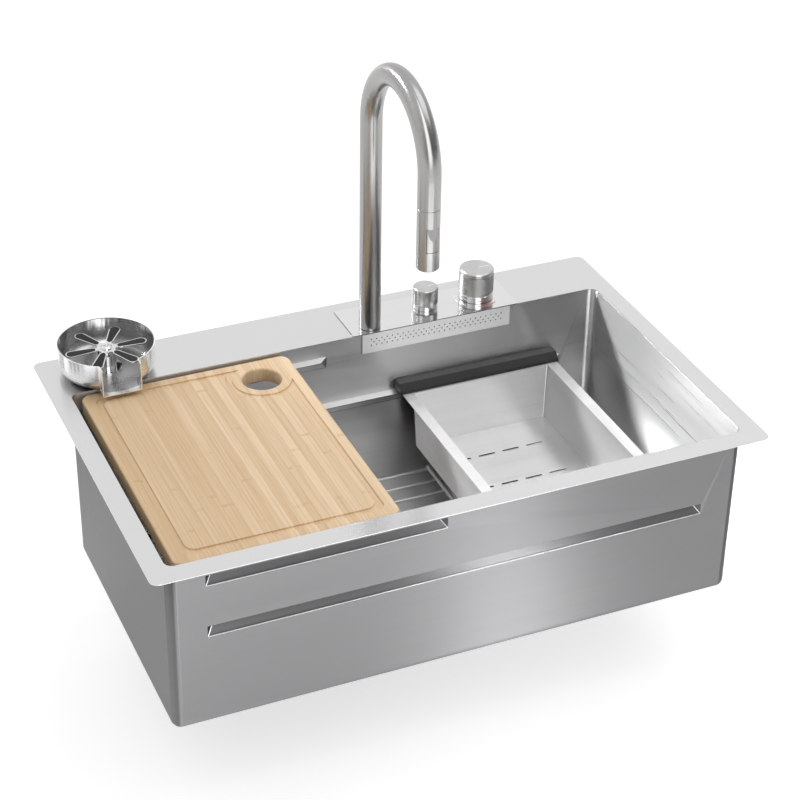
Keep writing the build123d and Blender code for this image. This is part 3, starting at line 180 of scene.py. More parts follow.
# Small helpers for materials
class Graph:
    """A material with short calls for its nodes."""

    def __init__(self, name, colour, metallic, roughness):
        self.material = bpy.data.materials.new(name)
        self.material.use_nodes = True
        self.tree = self.material.node_tree
        self.shader = self.tree.nodes["Principled BSDF"]
        self.shader.inputs["Base Color"].default_value = (*colour, 1)
        self.shader.inputs["Metallic"].default_value = metallic
        self.shader.inputs["Roughness"].default_value = roughness

    def feed(self, socket, value):
        """Link a socket, or set a plain value."""
        if isinstance(value, bpy.types.NodeSocket):
            self.tree.links.new(value, socket)
        else:
            socket.default_value = value

    def new(self, kind, **values):
        """A node whose inputs are given by name."""
        made = self.tree.nodes.new(kind)
        for name, value in values.items():
            self.feed(made.inputs[name], value)
        return made

    def math(self, operation, first, second=0.0, third=0.0):
        """One step of arithmetic."""
        made = self.tree.nodes.new("ShaderNodeMath")
        made.operation = operation
        for socket, value in zip(made.inputs, (first, second, third)):
            self.feed(socket, value)
        return made.outputs[0]

    def beyond(self, value, limit):
        """1 where a value is above a limit, whatever its sign."""
        return self.math("GREATER_THAN", self.math("ABSOLUTE", value), limit)

    def scaled(self, parts, factors):
        """A vector whose parts are multiplied by factors."""
        return self.vector(*[self.math("MULTIPLY", part, factor) for part, factor in zip(parts, factors)])

    def length(self, x, y):
        """The length of a level vector."""
        return self.math("SQRT", self.math("MULTIPLY_ADD", x, x, self.math("MULTIPLY", y, y)))

    def spread(self, value, low, high, start=0.0, end=1.0):
        """A value mapped from start..end to low..high, clamped."""
        made = self.new("ShaderNodeMapRange", Value=value)
        made.inputs["From Min"].default_value = start
        made.inputs["From Max"].default_value = end
        made.inputs["To Min"].default_value = low
        made.inputs["To Max"].default_value = high
        return made.outputs[0]

    def stretched(self, noise, low, high):
        """A noise mapped from the range that it mostly fills to low..high."""
        return self.spread(noise, low, high, NOISE_START, NOISE_END)

    def blend(self, amount, first, second):
        """Two colours mixed by an amount."""
        made = self.tree.nodes.new("ShaderNodeMix")
        made.data_type = "RGBA"
        self.feed(made.inputs[0], amount)
        for socket, value in ((made.inputs[6], first), (made.inputs[7], second)):
            if isinstance(value, tuple):
                value = (*value, 1)
            self.feed(socket, value)
        return made.outputs[2]

    def shaded(self, base, factor):
        """A colour made lighter or darker by a factor."""
        made = self.new("ShaderNodeVectorMath")
        made.operation = "SCALE"
        self.feed(made.inputs[0], base)
        self.feed(made.inputs["Scale"], factor)
        return made.outputs[0]

    def place(self):
        """The point on the object, in metres, as its three parts."""
        where = self.new("ShaderNodeTexCoord").outputs["Object"]
        return self.new("ShaderNodeSeparateXYZ", Vector=where).outputs

    def facing(self):
        """The three parts of the surface's own direction."""
        way = self.new("ShaderNodeNewGeometry").outputs["Normal"]
        return self.new("ShaderNodeSeparateXYZ", Vector=way).outputs

    def vector(self, x, y, z):
        """A vector from three numbers or sockets."""
        return self.new("ShaderNodeCombineXYZ", X=x, Y=y, Z=z).outputs[0]

    def noise(self, vector, scale=1.0, detail=3.0, roughness=0.55):
        """A noise value between 0 and 1."""
        made = self.new(
            "ShaderNodeTexNoise", Vector=vector, Scale=scale, Detail=detail, Roughness=roughness
        )
        return made.outputs["Fac"]

    def bump(self, height, strength, distance):
        """A bump from a height, fed to the shader."""
        made = self.new("ShaderNodeBump", Height=height)
        made.inputs["Strength"].default_value = strength
        made.inputs["Distance"].default_value = distance
        self.tree.links.new(made.outputs[0], self.shader.inputs["Normal"])

    def colour(self, value):
        """The shader's colour."""
        self.feed(self.shader.inputs["Base Color"], value)

    def rough(self, value):
        """The shader's roughness."""
        self.feed(self.shader.inputs["Roughness"], value)


def grey(tone):
    """A colour of one tone."""
    return (tone, tone, tone)


def near(g, value, target):
    """1 where a value lies within half a sheet of a target."""
    gap = g.math("ABSOLUTE", g.math("SUBTRACT", value, target))
    return g.math("LESS_THAN", gap, RECESS_REACH)


def any_of(g, values):
    """1 where any of the values is 1."""
    total = values[0]
    for value in values[1:]:
        total = g.math("MAXIMUM", total, value)
    return total


def bowl_outside(g, x, y, z, facing):
    """1 on the bowl's outside, the pressed recesses included, and 0 on its inside."""
    from_middle = g.math("SUBTRACT", y, BOWL_MIDDLE_Y)
    core_x = g.math("SUBTRACT", g.math("ABSOLUTE", x), BOWL_CORE_X)
    core_y = g.math("SUBTRACT", g.math("ABSOLUTE", from_middle), BOWL_CORE_Y)
    reach = g.length(g.math("MAXIMUM", core_x, 0.0), g.math("MAXIMUM", core_y, 0.0))
    shell = g.math("GREATER_THAN", reach, BOWL_SKIN)
    outward = g.math("MULTIPLY", facing[1], g.math("SIGN", from_middle))
    backs = g.math("GREATER_THAN", outward, HALF_TURNED)
    downward = g.math("LESS_THAN", facing[2], NOT_UPWARD)
    under = g.math("MULTIPLY", downward, g.math("LESS_THAN", z, BOWL_FLOOR))
    in_ledge = g.math("GREATER_THAN", core_y, LEDGE_CORE_Y)
    levels = any_of(g, [near(g, z, level) for level in RECESS_LEVELS])
    ends = any_of(g, [near(g, x, end) for end in RECESS_ENDS])
    shelf = g.math("MULTIPLY", g.beyond(facing[2], HALF_TURNED), levels)
    cheek = g.math("MULTIPLY", g.beyond(facing[0], HALF_TURNED), ends)
    pocket = g.math("MULTIPLY", in_ledge, g.math("MAXIMUM", shelf, cheek))
    return any_of(g, [shell, backs, under, pocket])


def brushed_sheet(
    name,
    colour,
    roughness,
    stretch,
    contrast=0.035,
    outside=None,
    edge_shade=1.0,
    plate_axis=2,
    right_wall_shade=None,
    shaded_slots_below=None,
):
    """Brushed steel sheet: grain along X on flat faces and level on walls.

    stretch draws the gloss out across the grain, and contrast is how strongly the grain shows.
    outside gives the bowl's outer colour, painted far darker than the inside as shade, its roughness,
    and its tint at grazing angles, which dulls the gloss as painted shade too.
    edge_shade is how much of the tone a plate's cut edges and bores keep, as painted shade, and
    plate_axis the axis that its flat faces look along.
    right_wall_shade gives the x beyond which upright faces that look along X are painted darker as
    shade, and how much of the tone they keep.
    shaded_slots_below is the level under which upright faces, the edges of slots, are painted near black as
    shade.
    """
    g = Graph(name, colour, metallic=1.0, roughness=roughness)
    x, y, z = g.place()
    facing = g.facing()
    level = g.beyond(facing[2], FLAT_FACE)
    wall = g.math("SUBTRACT", 1.0, level)
    grain_factors = (GRAIN_ALONG, g.spread(level, GRAIN_ALONG, GRAIN_ACROSS), GRAIN_ACROSS)
    fine = g.noise(g.scaled((x, y, z), grain_factors), detail=4.0, roughness=0.65)
    band_factors = (BAND_ALONG, g.spread(level, BAND_ALONG, BAND_ACROSS), BAND_ACROSS)
    broad = g.noise(g.scaled((x, y, z), band_factors), detail=2.0, roughness=0.5)
    grain = g.math("ADD", g.math("MULTIPLY", fine, GRAIN_SHARE), g.math("MULTIPLY", broad, BAND_SHARE))
    shade = g.stretched(grain, 1.0 - contrast, 1.0 + contrast)
    base = g.vector(*colour)
    rough = g.stretched(grain, roughness - SMOOTHER * contrast, roughness + ROUGHER * contrast)
    # Painted shade: a plate's cut edges and the walls of its holes are darker
    if edge_shade < 1.0:
        flat = g.beyond(facing[plate_axis], FLAT_FACE)
        shade = g.math("MULTIPLY", shade, g.spread(flat, edge_shade, 1.0))
    # Painted shade on upright faces that look along X beyond an x
    if right_wall_shade:
        shade_start, shade_tone = right_wall_shade
        shaded_wall = g.beyond(facing[0], FLAT_FACE)
        shaded_wall = g.math("MULTIPLY", shaded_wall, g.math("GREATER_THAN", x, shade_start))
        shade = g.math("MULTIPLY", shade, g.spread(shaded_wall, 1.0, shade_tone))
    # Painted shade in the slots
    if shaded_slots_below:
        slot_shade = g.math("MULTIPLY", g.math("LESS_THAN", z, shaded_slots_below), wall)
        shade = g.math("MULTIPLY", shade, g.spread(slot_shade, 1.0, SLOT_SHADE))
    if outside:
        outer_shade, outer_rough, outer_edge_shade = outside
        mask = bowl_outside(g, x, y, z, facing)
        inner = g.math("SUBTRACT", 1.0, mask)
        # Painted shade: upright inner walls darken towards the upper level
        upper_wall_shade = g.math("MULTIPLY", g.spread(z, 0.0, 1.0, *BOWL_SHADE_LEVELS), wall)
        # Painted shade: the outside takes a far darker colour than the inside
        base = g.blend(mask, g.blend(upper_wall_shade, colour, BOWL_UPPER_SHADE), outer_shade)
        turned = g.math("ABSOLUTE", g.math("MULTIPLY", facing[0], facing[1]))
        corner = g.math("MULTIPLY", g.math("GREATER_THAN", turned, CORNER_TURN), mask)
        inner_level = g.math("MULTIPLY", inner, level)
        deep = g.math("MULTIPLY", inner, g.spread(z, 1.0, 0.0, *DEEP_LEVELS))
        for where, rougher in (
            (mask, outer_rough - roughness),
            (corner, CORNER_ROUGHER),
            (inner_level, LEVEL_ROUGHER),
            (deep, DEEP_ROUGHER),
        ):
            rough = g.math("ADD", rough, g.math("MULTIPLY", where, rougher))
        # Painted shade: the outside's gloss is dulled at grazing angles
        g.feed(g.shader.inputs["Specular Tint"], g.blend(mask, grey(1.0), outer_edge_shade))
    g.colour(g.shaded(base, shade))
    g.rough(rough)
    g.shader.inputs["Anisotropic"].default_value = stretch
    g.feed(g.shader.inputs["Tangent"], g.vector(0.0, level, wall))
    g.bump(fine, GRAIN_BUMP * contrast, GRAIN_HEIGHT)
    return g.material


def cup_light_and_shade(g, x, y, z):
    """The rinser cup's colour: pale outside, a darker inside as painted shade, and the rim and spout lip
    painted bright in front as a highlight and dark at the rear as shade.
    """
    from_x = g.math("SUBTRACT", x, RINSER_AT[0])
    from_y = g.math("SUBTRACT", y, RINSER_AT[1])
    reach = g.length(from_x, from_y)
    base = g.blend(g.math("GREATER_THAN", reach, CUP_SKIN), CUP_INSIDE_SHADE, CUP_OUTSIDE)
    rim = g.math("GREATER_THAN", z, CUP_RIM)
    lip = g.math("LESS_THAN", y, CUP_LIP)
    painted_edge = g.blend(g.spread(from_y, 0.0, 1.0, *CUP_RIM_TURN), CUP_EDGE_HIGHLIGHT, CUP_REAR_EDGE_SHADE)
    return g.blend(g.math("MAXIMUM", rim, lip), base, painted_edge)


def satin_steel(name, colour, roughness, repeats, stretch=0.0, bend=None, painted_tones=None):
    """Turned or drawn satin steel; repeats says how fine its grain is along each axis.

    stretch draws the gloss out along the axis, which is upright or follows the arch above bend.
    tones gives a colour that changes over the piece, with painted light and shade on the cup.
    """
    g = Graph(name, colour, metallic=1.0, roughness=roughness)
    x, y, z = g.place()
    fine = g.noise(g.scaled((x, y, z), repeats), detail=4.0, roughness=0.6)
    smudge = g.noise(g.vector(x, y, z), SMUDGE_SCALE, detail=2.0, roughness=0.5)
    base = painted_tones(g, x, y, z) if painted_tones else g.vector(*colour)
    g.colour(g.shaded(base, g.stretched(fine, *SATIN_SHADE)))
    grain = g.math("ADD", g.math("MULTIPLY", fine, SATIN_SHARE), g.math("MULTIPLY", smudge, SMUDGE_SHARE))
    g.rough(g.stretched(grain, roughness - SATIN_SMOOTHER, roughness + SATIN_ROUGHER))
    if stretch:
        g.shader.inputs["Anisotropic"].default_value = stretch
        axis = g.vector(0.0, 0.0, 1.0)
        if bend:
            bend_y, bend_z = bend
            over = g.math("GREATER_THAN", z, bend_z)
            rise = g.math("SUBTRACT", z, bend_z)
            run = g.math("SUBTRACT", y, bend_y)
            round_bend = g.vector(0.0, g.math("MULTIPLY", rise, -1.0), run)
            axis = g.blend(over, axis, round_bend)
        g.feed(g.shader.inputs["Tangent"], axis)
    g.bump(fine, SATIN_BUMP, GRAIN_HEIGHT)
    return g.material


def moulded(name, colour, roughness, skin_scale, skin_bump, gloss=0.5, top_sheen=None):
    """Moulded plastic or rubber with a fine leathery skin; top is a paler colour painted on its upper faces
    as sheen.
    """
    g = Graph(name, colour, metallic=0.0, roughness=roughness)
    g.shader.inputs["Specular IOR Level"].default_value = gloss
    where = g.vector(*g.place())
    skin = g.noise(where, skin_scale, detail=3.0, roughness=0.6)
    cloud = g.noise(where, skin_scale / CLOUD_WIDTH, detail=2.0, roughness=0.5)
    darker = tuple(part * CLOUD_DARKER for part in colour)
    lighter = tuple(min(1.0, part * CLOUD_LIGHTER + CLOUD_LIFT) for part in colour)
    base = g.blend(cloud, darker, lighter)
    # Painted sheen: upper faces take a paler colour
    if top_sheen:
        base = g.blend(g.math("GREATER_THAN", g.facing()[2], TOP_FACE), base, top_sheen)
    g.colour(base)
    g.rough(g.stretched(skin, roughness - SKIN_ROUGH_SPREAD, roughness + SKIN_ROUGH_SPREAD))
    g.bump(skin, skin_bump, SKIN_HEIGHT)
    return g.material


def bamboo(name):
    """Bamboo board: glued strips of uneven width along Y, with fibres, a few growth rings and painted shade
    towards its left edge.
    """
    g = Graph(name, BAMBOO, metallic=0.0, roughness=0.45)
    x, y, z = g.place()
    strips = []
    for feature in ("F1", "DISTANCE_TO_EDGE"):
        cells = g.tree.nodes.new("ShaderNodeTexVoronoi")
        cells.voronoi_dimensions = "1D"
        cells.feature = feature
        cells.inputs["Scale"].default_value = 1.0 / STRIP_WIDTH
        cells.inputs["Randomness"].default_value = STRIP_UNEVEN
        g.feed(cells.inputs["W"], x)
        strips.append(cells)
    drawn = g.new("ShaderNodeSeparateColor", Color=strips[0].outputs["Color"]).outputs
    strip_tone, strip_offset, ring_offset = drawn
    base = g.blend(strip_tone, BAMBOO_DARK, BAMBOO_PALE)
    # Painted shade towards the board's left edge
    side = g.spread(x, LEFT_SHADE_STRENGTH, 0.0, start=BOARD_LEFT, end=BOARD_LEFT + LEFT_SHADE_WIDTH)
    base = g.blend(side, base, BAMBOO_LEFT_SHADE)
    shifted = g.math("ADD", y, g.math("MULTIPLY", strip_offset, STRIP_OFFSET))
    streak = g.noise(g.scaled((x, shifted, z), STREAK_REPEATS), detail=3.0, roughness=0.55)
    base = g.blend(g.spread(streak, 0.0, DARK_STREAK, start=0.46, end=0.76), base, STREAK_DARK_TONE)
    base = g.blend(g.spread(streak, PALE_STREAK, 0.0, start=0.25, end=0.45), base, STREAK_PALE_TONE)
    fibre = g.noise(g.scaled((x, shifted, z), FIBRE_REPEATS), detail=4.0, roughness=0.6)
    base = g.blend(g.spread(fibre, 0.0, DARK_FIBRE, start=0.48, end=0.75), base, FIBRE_TONE)
    ring_y = g.math("MULTIPLY", y, RING_REPEAT)
    ring_place = g.math("ADD", ring_y, g.math("MULTIPLY", ring_offset, RING_OFFSET))
    from_ring = g.math("ABSOLUTE", g.math("SUBTRACT", g.math("FRACT", ring_place), 0.5))
    on_ring = g.spread(from_ring, RING_STRENGTH, 0.0, start=0.0, end=RING_HALF_WIDTH)
    blotch = g.noise(g.vector(x, y, z), BLOTCH_SCALE, detail=3.0, roughness=0.6)
    ring_line = g.math("MULTIPLY", on_ring, g.spread(blotch, 0.0, 1.0, start=0.4, end=0.62))
    base = g.blend(ring_line, base, RING_TONE)
    glue = g.spread(strips[1].outputs["Distance"], GLUE_STRENGTH, 0.0, start=0.0, end=GLUE_WIDTH)
    base = g.blend(glue, base, GLUE_TONE)
    g.colour(base)
    g.rough(g.stretched(fibre, *WOOD_ROUGH))
    g.bump(g.math("SUBTRACT", fibre, g.math("MULTIPLY", glue, GLUE_SUNK)), WOOD_BUMP, WOOD_HEIGHT)
    return g.material


# The finishes
sheet = brushed_sheet("sheet_steel", grey(0.70), roughness=0.26, stretch=0.7, contrast=0.008)
panel_steel = brushed_sheet(
    "panel_steel", grey(0.74), roughness=0.14, stretch=0.5, contrast=0.02, edge_shade=0.15
)
face_steel = brushed_sheet(
    "outlet_steel", grey(0.97), roughness=0.50, stretch=0.3, contrast=0.03, edge_shade=0.04, plate_axis=1
)
bowl_steel = brushed_sheet(
    "bowl_steel",
    grey(0.97),
    roughness=0.30,
    stretch=1.0,
    outside=(BOWL_OUTSIDE_SHADE, BOWL_OUTSIDE_ROUGH, BOWL_OUTSIDE_EDGE_SHADE),
)
tray_steel = brushed_sheet(
    "tray_steel",
    grey(0.95),
    roughness=0.31,
    stretch=0.95,
    contrast=0.04,
    right_wall_shade=(TRAY_SHADE_START, TRAY_SHADE_TONE),
    shaded_slots_below=TRAY_FLOOR,
)
tap_steel = satin_steel(
    "tap_steel",
    (0.365, 0.362, 0.358),
    roughness=0.24,
    repeats=DRAWN_TUBE,
    stretch=0.6,
    bend=(ARCH_Y, ARCH_Z),
)
turned_steel = satin_steel(
    "turned_steel", (0.55, 0.55, 0.545), roughness=0.30, repeats=TURNED, stretch=0.7
)
knurled_steel = satin_steel("knurled_steel", (0.46, 0.46, 0.455), roughness=0.20, repeats=TURNED)
polished = satin_steel("polished_steel", grey(0.72), roughness=0.10, repeats=EVEN)
lip_steel = satin_steel("lip_steel", grey(0.90), roughness=0.30, repeats=ALONG_LIP)
cup_steel = satin_steel(
    "cup_steel", CUP_OUTSIDE, roughness=0.28, repeats=DRAWN_CUP, stretch=0.6, painted_tones=cup_light_and_shade
)
wire_steel = satin_steel("wire_steel", grey(0.98), roughness=0.46, repeats=COARSE_EVEN)
brass = satin_steel("machined_brass", (0.62, 0.46, 0.20), roughness=0.28, repeats=TURNED)
rubber = moulded(
    "black_rubber",
    (0.020, 0.020, 0.021),
    roughness=0.60,
    skin_scale=FINER_SKIN,
    skin_bump=0.15,
    gloss=0.3,
)
pad_rubber = moulded(
    "grey_rubber", (0.10, 0.10, 0.105), roughness=0.75, skin_scale=FINE_SKIN, skin_bump=0.3
)
plastic = moulded(
    "black_plastic",
    (0.013, 0.013, 0.014),
    roughness=0.42,
    skin_scale=FINE_SKIN,
    skin_bump=0.06,
    gloss=0.25,
)
rail_plastic = moulded(
    "rail_plastic",
    (0.022, 0.022, 0.023),
    roughness=0.42,
    skin_scale=FINE_SKIN,
    skin_bump=0.06,
    gloss=0.3,
    top_sheen=(0.085, 0.085, 0.087),
)
pale_plastic = moulded(
    "grey_plastic", (0.50, 0.51, 0.52), roughness=0.45, skin_scale=FINE_SKIN, skin_bump=0.08
)
red_paint = moulded(
    "red_mark", (0.70, 0.12, 0.10), roughness=0.35, skin_scale=FINER_SKIN, skin_bump=0.05
)
blue_paint = moulded(
    "blue_mark", (0.56, 0.63, 0.73), roughness=0.35, skin_scale=FINER_SKIN, skin_bump=0.05
)
board_wood = bamboo("bamboo_board")

finishes = {
    "rim_deck": sheet,
    "bowl": bowl_steel,
    "tap_panel": panel_steel,
    "waterfall_face": face_steel,
    "colander_tray": tray_steel,
    "gooseneck": tap_steel,
    "spray_body": tap_steel,
    "rocker_button": tap_steel,
    "rinser_cup": cup_steel,
    "grid_wires": wire_steel,
    "diverter_knob": turned_steel,
    "mixer_grip": turned_steel,
    "mixer_cap": turned_steel,
    "cutting_board": board_wood,
    "hot_mark": red_paint,
    "cold_mark": blue_paint,
    "damping_pads": pad_rubber,
    "colander_rear_rail": rail_plastic,
    "colander_front_rail": rail_plastic,
}
by_slot = {
    "steel_sheet": sheet,
    "steel_satin": tap_steel,
    "steel_polished": polished,
    "brass": brass,
    "rubber_black": rubber,
    "rubber_grey": pad_rubber,
    "plastic_black": plastic,
    "plastic_grey": pale_plastic,
}
slot_of = {entry["node"]: entry["material_slot"] for entry in frame["record"]["subparts"]}
for name, item in nodes.items():
    finish = finishes.get(name) or by_slot[slot_of[name]]
    item.data.materials.clear()
    item.data.materials.append(finish)

# Rounded edges on pressed, folded and turned pieces, by their width in metres
WELD_REACH = 0.000004
EASE_ANGLE = math.radians(40.0)
EASE_SEGMENTS = 2
EASE_WIDTHS = {
    "bowl": 0.0005,
    "rim_deck": 0.0004,
    "tap_panel": 0.0003,
    "cutting_board": 0.0006,
    "colander_tray": 0.0003,
    "rinser_cup": 0.0004,
    "rinser_star": 0.0004,
    "colander_rear_rail": 0.0006,
    "colander_front_rail": 0.0006,
    "mixer_cap": 0.0003,
    "diverter_knob": 0.0003,
}


def soften(item, width):
    """Ease a solid's sharp edges with modifiers; its mesh stays as it is."""
    weld = item.modifiers.new("join", "WELD")
    weld.merge_threshold = WELD_REACH
    ease = item.modifiers.new("ease", "BEVEL")
    ease.limit_method = "ANGLE"
    ease.angle_limit = EASE_ANGLE
    ease.width = width
    ease.segments = EASE_SEGMENTS
    ease.harden_normals = True
    ease.use_clamp_overlap = True


for node, width in EASE_WIDTHS.items():
    soften(nodes[node], width)

# Detail pieces in mesh code
SHARP_ANGLE = math.radians(35.0)
SLEEVE_WALL = 0.0006
BEAD_SIDES = 8


def piece(name, points, faces, material, body, slot):
    """A mesh piece that rides on a body, smooth apart from its sharp edges."""
    mesh = bpy.data.meshes.new(name)
    mesh.from_pydata(points, [], faces)
    mesh.validate()
    mesh.shade_smooth()
    mesh.set_sharp_from_angle(angle=SHARP_ANGLE)
    mesh.materials.append(material)
    item = bpy.data.objects.new(name, mesh)
    scene.collection.objects.link(item)
    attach(item, body)
    return item


def tube_faces(rings, columns, loop):
    """Quads between rings of points; loop joins the last ring to the first."""
    faces = []
    last = rings if loop else rings - 1
    for ring in range(last):
        above = (ring + 1) % rings
        for column in range(columns):
            beside = (column + 1) % columns
            corners = (ring, column), (ring, beside), (above, beside), (above, column)
            faces.append([r * columns + c for r, c in corners])
    return faces


def capped_faces(rings, columns):
    """Quads between rings of points, and a face over each end."""
    faces = tube_faces(rings, columns, False)
    faces.append(list(reversed(range(columns))))
    faces.append([(rings - 1) * columns + column for column in range(columns)])
    return faces


def cut_sleeve(centre, radius, low, high, rows, columns, depth, height_at):
    """Points and faces of a closed sleeve whose outside is raised by height_at(row, column)."""
    points = []
    inner = radius - SLEEVE_WALL
    for row in range(rows + 1):
        z = low + (high - low) * row / rows
        for column in range(columns):
            angle = math.tau * column / columns
            r = radius + depth * height_at(row, column)
            points.append((centre[0] + r * math.cos(angle), centre[1] + r * math.sin(angle), z))
    for z in (high, low):
        for column in range(columns):
            angle = math.tau * column / columns
            points.append((centre[0] + inner * math.cos(angle), centre[1] + inner * math.sin(angle), z))
    return points, tube_faces(rows + 3, columns, True)


def bead(path, radius):
    """Points and faces of a thin rounded bead along a bent line."""
    points = []
    for at, place in enumerate(path):
        before = Vector(path[max(at - 1, 0)])
        after = Vector(path[min(at + 1, len(path) - 1)])
        way = (after - before).normalized()
        across = way.cross(Vector((0.0, 0.0, 1.0))).normalized()
        rise = across.cross(way)
        for step in range(BEAD_SIDES):
            angle = math.tau * step / BEAD_SIDES
            side = across * math.cos(angle) + rise * math.sin(angle)
            points.append(Vector(place) + radius * side)
    return points, capped_faces(len(path), BEAD_SIDES)


def ramp(step):
    """A groove at step 0 and a crest at step 2 of four."""
    return (0.0, 0.5, 1.0, 0.5)[step % 4]


def diamond(row, column):
    """Two crossing sets of grooves leave diamonds."""
    return min(ramp(row + column), ramp(row - column))


def straight(row, column):
    """Straight grooves along the axis."""
    return ramp(column)


def tooth(row, column):
    """Square teeth round a ring."""
    return (1.0, 1.0, 0.0, 0.0)[column % 4]


# Knurling of the knobs and the large knob's crown
mixer_knurl = cut_sleeve(
    MIXER_AT, radius=0.02215, low=0.0149, high=0.0391, rows=60, columns=288, depth=0.0004, height_at=diamond
)
mixer_crown = cut_sleeve(
    MIXER_AT, radius=0.0209, low=0.0398, high=0.0410, rows=2, columns=160, depth=0.0009, height_at=tooth
)
diverter_knurl = cut_sleeve(
    DIVERTER_AT,
    radius=0.01595,
    low=0.0110,
    high=0.0318,
    rows=2,
    columns=320,
    depth=0.00028,
    height_at=straight,
)
piece("mixer_knurl", *mixer_knurl, knurled_steel, "mixer", "steel_satin")
piece("mixer_crown", *mixer_crown, polished, "mixer", "steel_satin")
piece("diverter_knurl", *diverter_knurl, knurled_steel, "diverter", "steel_satin")

# Pointer lines on the knobs' tops
POINTER_HALF_WIDTH = 0.00055
POINTER_SUNK = 0.0003
POINTER_PROUD = 0.00015
POINTER_STEPS = 16


def pointer(name, centre, start, end, level, body):
    """A thin inlaid line with round ends on a knob's top, from the middle towards +X."""
    points = []
    profile = ((0.0, -POINTER_SUNK), (0.0, POINTER_PROUD / 2), (POINTER_PROUD, POINTER_PROUD))
    for inset, rise in profile:
        radius = POINTER_HALF_WIDTH - inset
        for step in range(POINTER_STEPS):
            angle = math.tau * (step + 0.5) / POINTER_STEPS
            middle = end if math.cos(angle) > 0 else start
            x = centre[0] + middle + radius * math.cos(angle)
            points.append((x, centre[1] + radius * math.sin(angle), level + rise))
    faces = capped_faces(len(profile), POINTER_STEPS)
    piece(name, points, faces, lip_steel, body, "steel_polished")


pointer("mixer_pointer", MIXER_AT, start=0.004, end=0.0165, level=0.0456, body="mixer")
pointer("diverter_pointer", DIVERTER_AT, start=0.003, end=0.0115, level=0.0330, body="diverter")

# Rolled lips of the pressed grooves: lower edges and the mitred ends
LIP_RADIUS = 0.0007
groove_left = RECESS_ENDS[0]
groove_lines = ((RECESS_LEVELS[1], RECESS_ENDS[1]), (RECESS_LEVELS[3], RECESS_ENDS[2]))
for name, wall, inward in (
    ("front_groove_lips", FRONT_WALL_Y, 1.0),
    ("rear_groove_lips", REAR_WALL_Y, -1.0),
):
    lip_points, lip_faces = [], []
    for level, groove_right in groove_lines:
        deep = wall + inward * GROOVE_DEPTH
        high = level + GROOVE_RISE
        line = [
            (groove_left + GROOVE_DEPTH, deep, high),
            (groove_left, wall, level),
            (groove_right, wall, level),
            (groove_right - GROOVE_DEPTH, deep, high),
        ]
        for first, last in zip(line, line[1:]):
            points, faces = bead([first, last], LIP_RADIUS)
            shift = len(lip_points)
            lip_points.extend(points)
            lip_faces.extend([shift + corner for corner in face] for face in faces)
    piece(name, lip_points, lip_faces, lip_steel, "sink", "steel_sheet")

# Thread crests on the shanks and inlets below the deck
THREAD_COLUMNS = 40
THREAD_ROWS = 6
THREAD_DEPTH = 0.4
FINE_PITCH, PIPE_PITCH = 0.0015, 0.0018


def crest(row, column):
    """The height of a thread, from 0 in its groove to 1 on its crest."""
    turn = row / THREAD_ROWS - column / THREAD_COLUMNS
    return 1.0 - abs(2.0 * (turn - math.floor(turn)) - 1.0)


def thread(name, centre, radius, low, high, pitch):
    """A brass sleeve with a screw thread."""
    rows = round((high - low) / pitch * THREAD_ROWS)
    sleeve = cut_sleeve(centre, radius, low, high, rows, THREAD_COLUMNS, pitch * THREAD_DEPTH, crest)
    piece(name, *sleeve, brass, "sink", "brass")


thread("tap_shank_thread", TAP_AT, radius=0.01003, low=-0.0455, high=-0.0082, pitch=FINE_PITCH)
thread("hot_inlet_thread", DIVERTER_AT, radius=0.01043, low=-0.0595, high=-0.0445, pitch=PIPE_PITCH)
thread("cold_inlet_thread", MIXER_AT, radius=0.01043, low=-0.0595, high=-0.0445, pitch=PIPE_PITCH)
thread("rinser_inlet_thread", RINSER_AT, radius=0.00963, low=-0.0435, high=-0.0250, pitch=PIPE_PITCH)

# Ribbed rubber pads of the rinser's star
PAD_ARMS = 6
PAD_IN, PAD_OUT = 0.0172, 0.0432
PAD_IN_RADIUS, PAD_OUT_RADIUS = 0.0034, 0.0058
PAD_LOW, PAD_TOP = 0.0330, 0.0362
PAD_RIB, PAD_RIB_PITCH = 0.0005, 0.0027
PAD_STATIONS, PAD_ACROSS = 84, 10
PAD_ROUND = 0.0006
PAD_LEAST_HALF = 0.0001
CROWN_POWER, RIB_POWER = 4, 6
END_SHARE, EVEN_SHARE = 0.35, 0.65


def pad_half_width(along):
    """Half the width of a pad at a distance from the hub: two end circles and a taper."""
    slope = (PAD_OUT_RADIUS - PAD_IN_RADIUS) / (PAD_OUT - PAD_IN)
    lean = math.sqrt(1.0 - slope * slope)
    near_end = PAD_IN - PAD_IN_RADIUS * slope
    far_end = PAD_OUT - PAD_OUT_RADIUS * slope
    if along < near_end:
        return math.sqrt(max(0.0, PAD_IN_RADIUS**2 - (along - PAD_IN) ** 2))
    if along > far_end:
        return math.sqrt(max(0.0, PAD_OUT_RADIUS**2 - (along - PAD_OUT) ** 2))
    share = (along - near_end) / (far_end - near_end)
    return lean * (PAD_IN_RADIUS + share * (PAD_OUT_RADIUS - PAD_IN_RADIUS))


def pad_ring(along):
    """Points round one cross-section of a pad: ribbed, rounded top and flat underside."""
    half = max(pad_half_width(along), PAD_LEAST_HALF)
    wave = math.cos(math.tau * (along - PAD_IN) / PAD_RIB_PITCH)
    ring = []
    for step in range(PAD_ACROSS + 1):
        side = 2.0 * step / PAD_ACROSS - 1.0
        crown = PAD_ROUND * abs(side) ** CROWN_POWER
        rib = PAD_RIB * (0.5 - 0.5 * wave) * (1.0 - abs(side) ** RIB_POWER)
        ring.append((along, side * half, PAD_TOP - crown - rib))
    ring.append((along, half, PAD_LOW))
    ring.append((along, -half, PAD_LOW))
    return ring


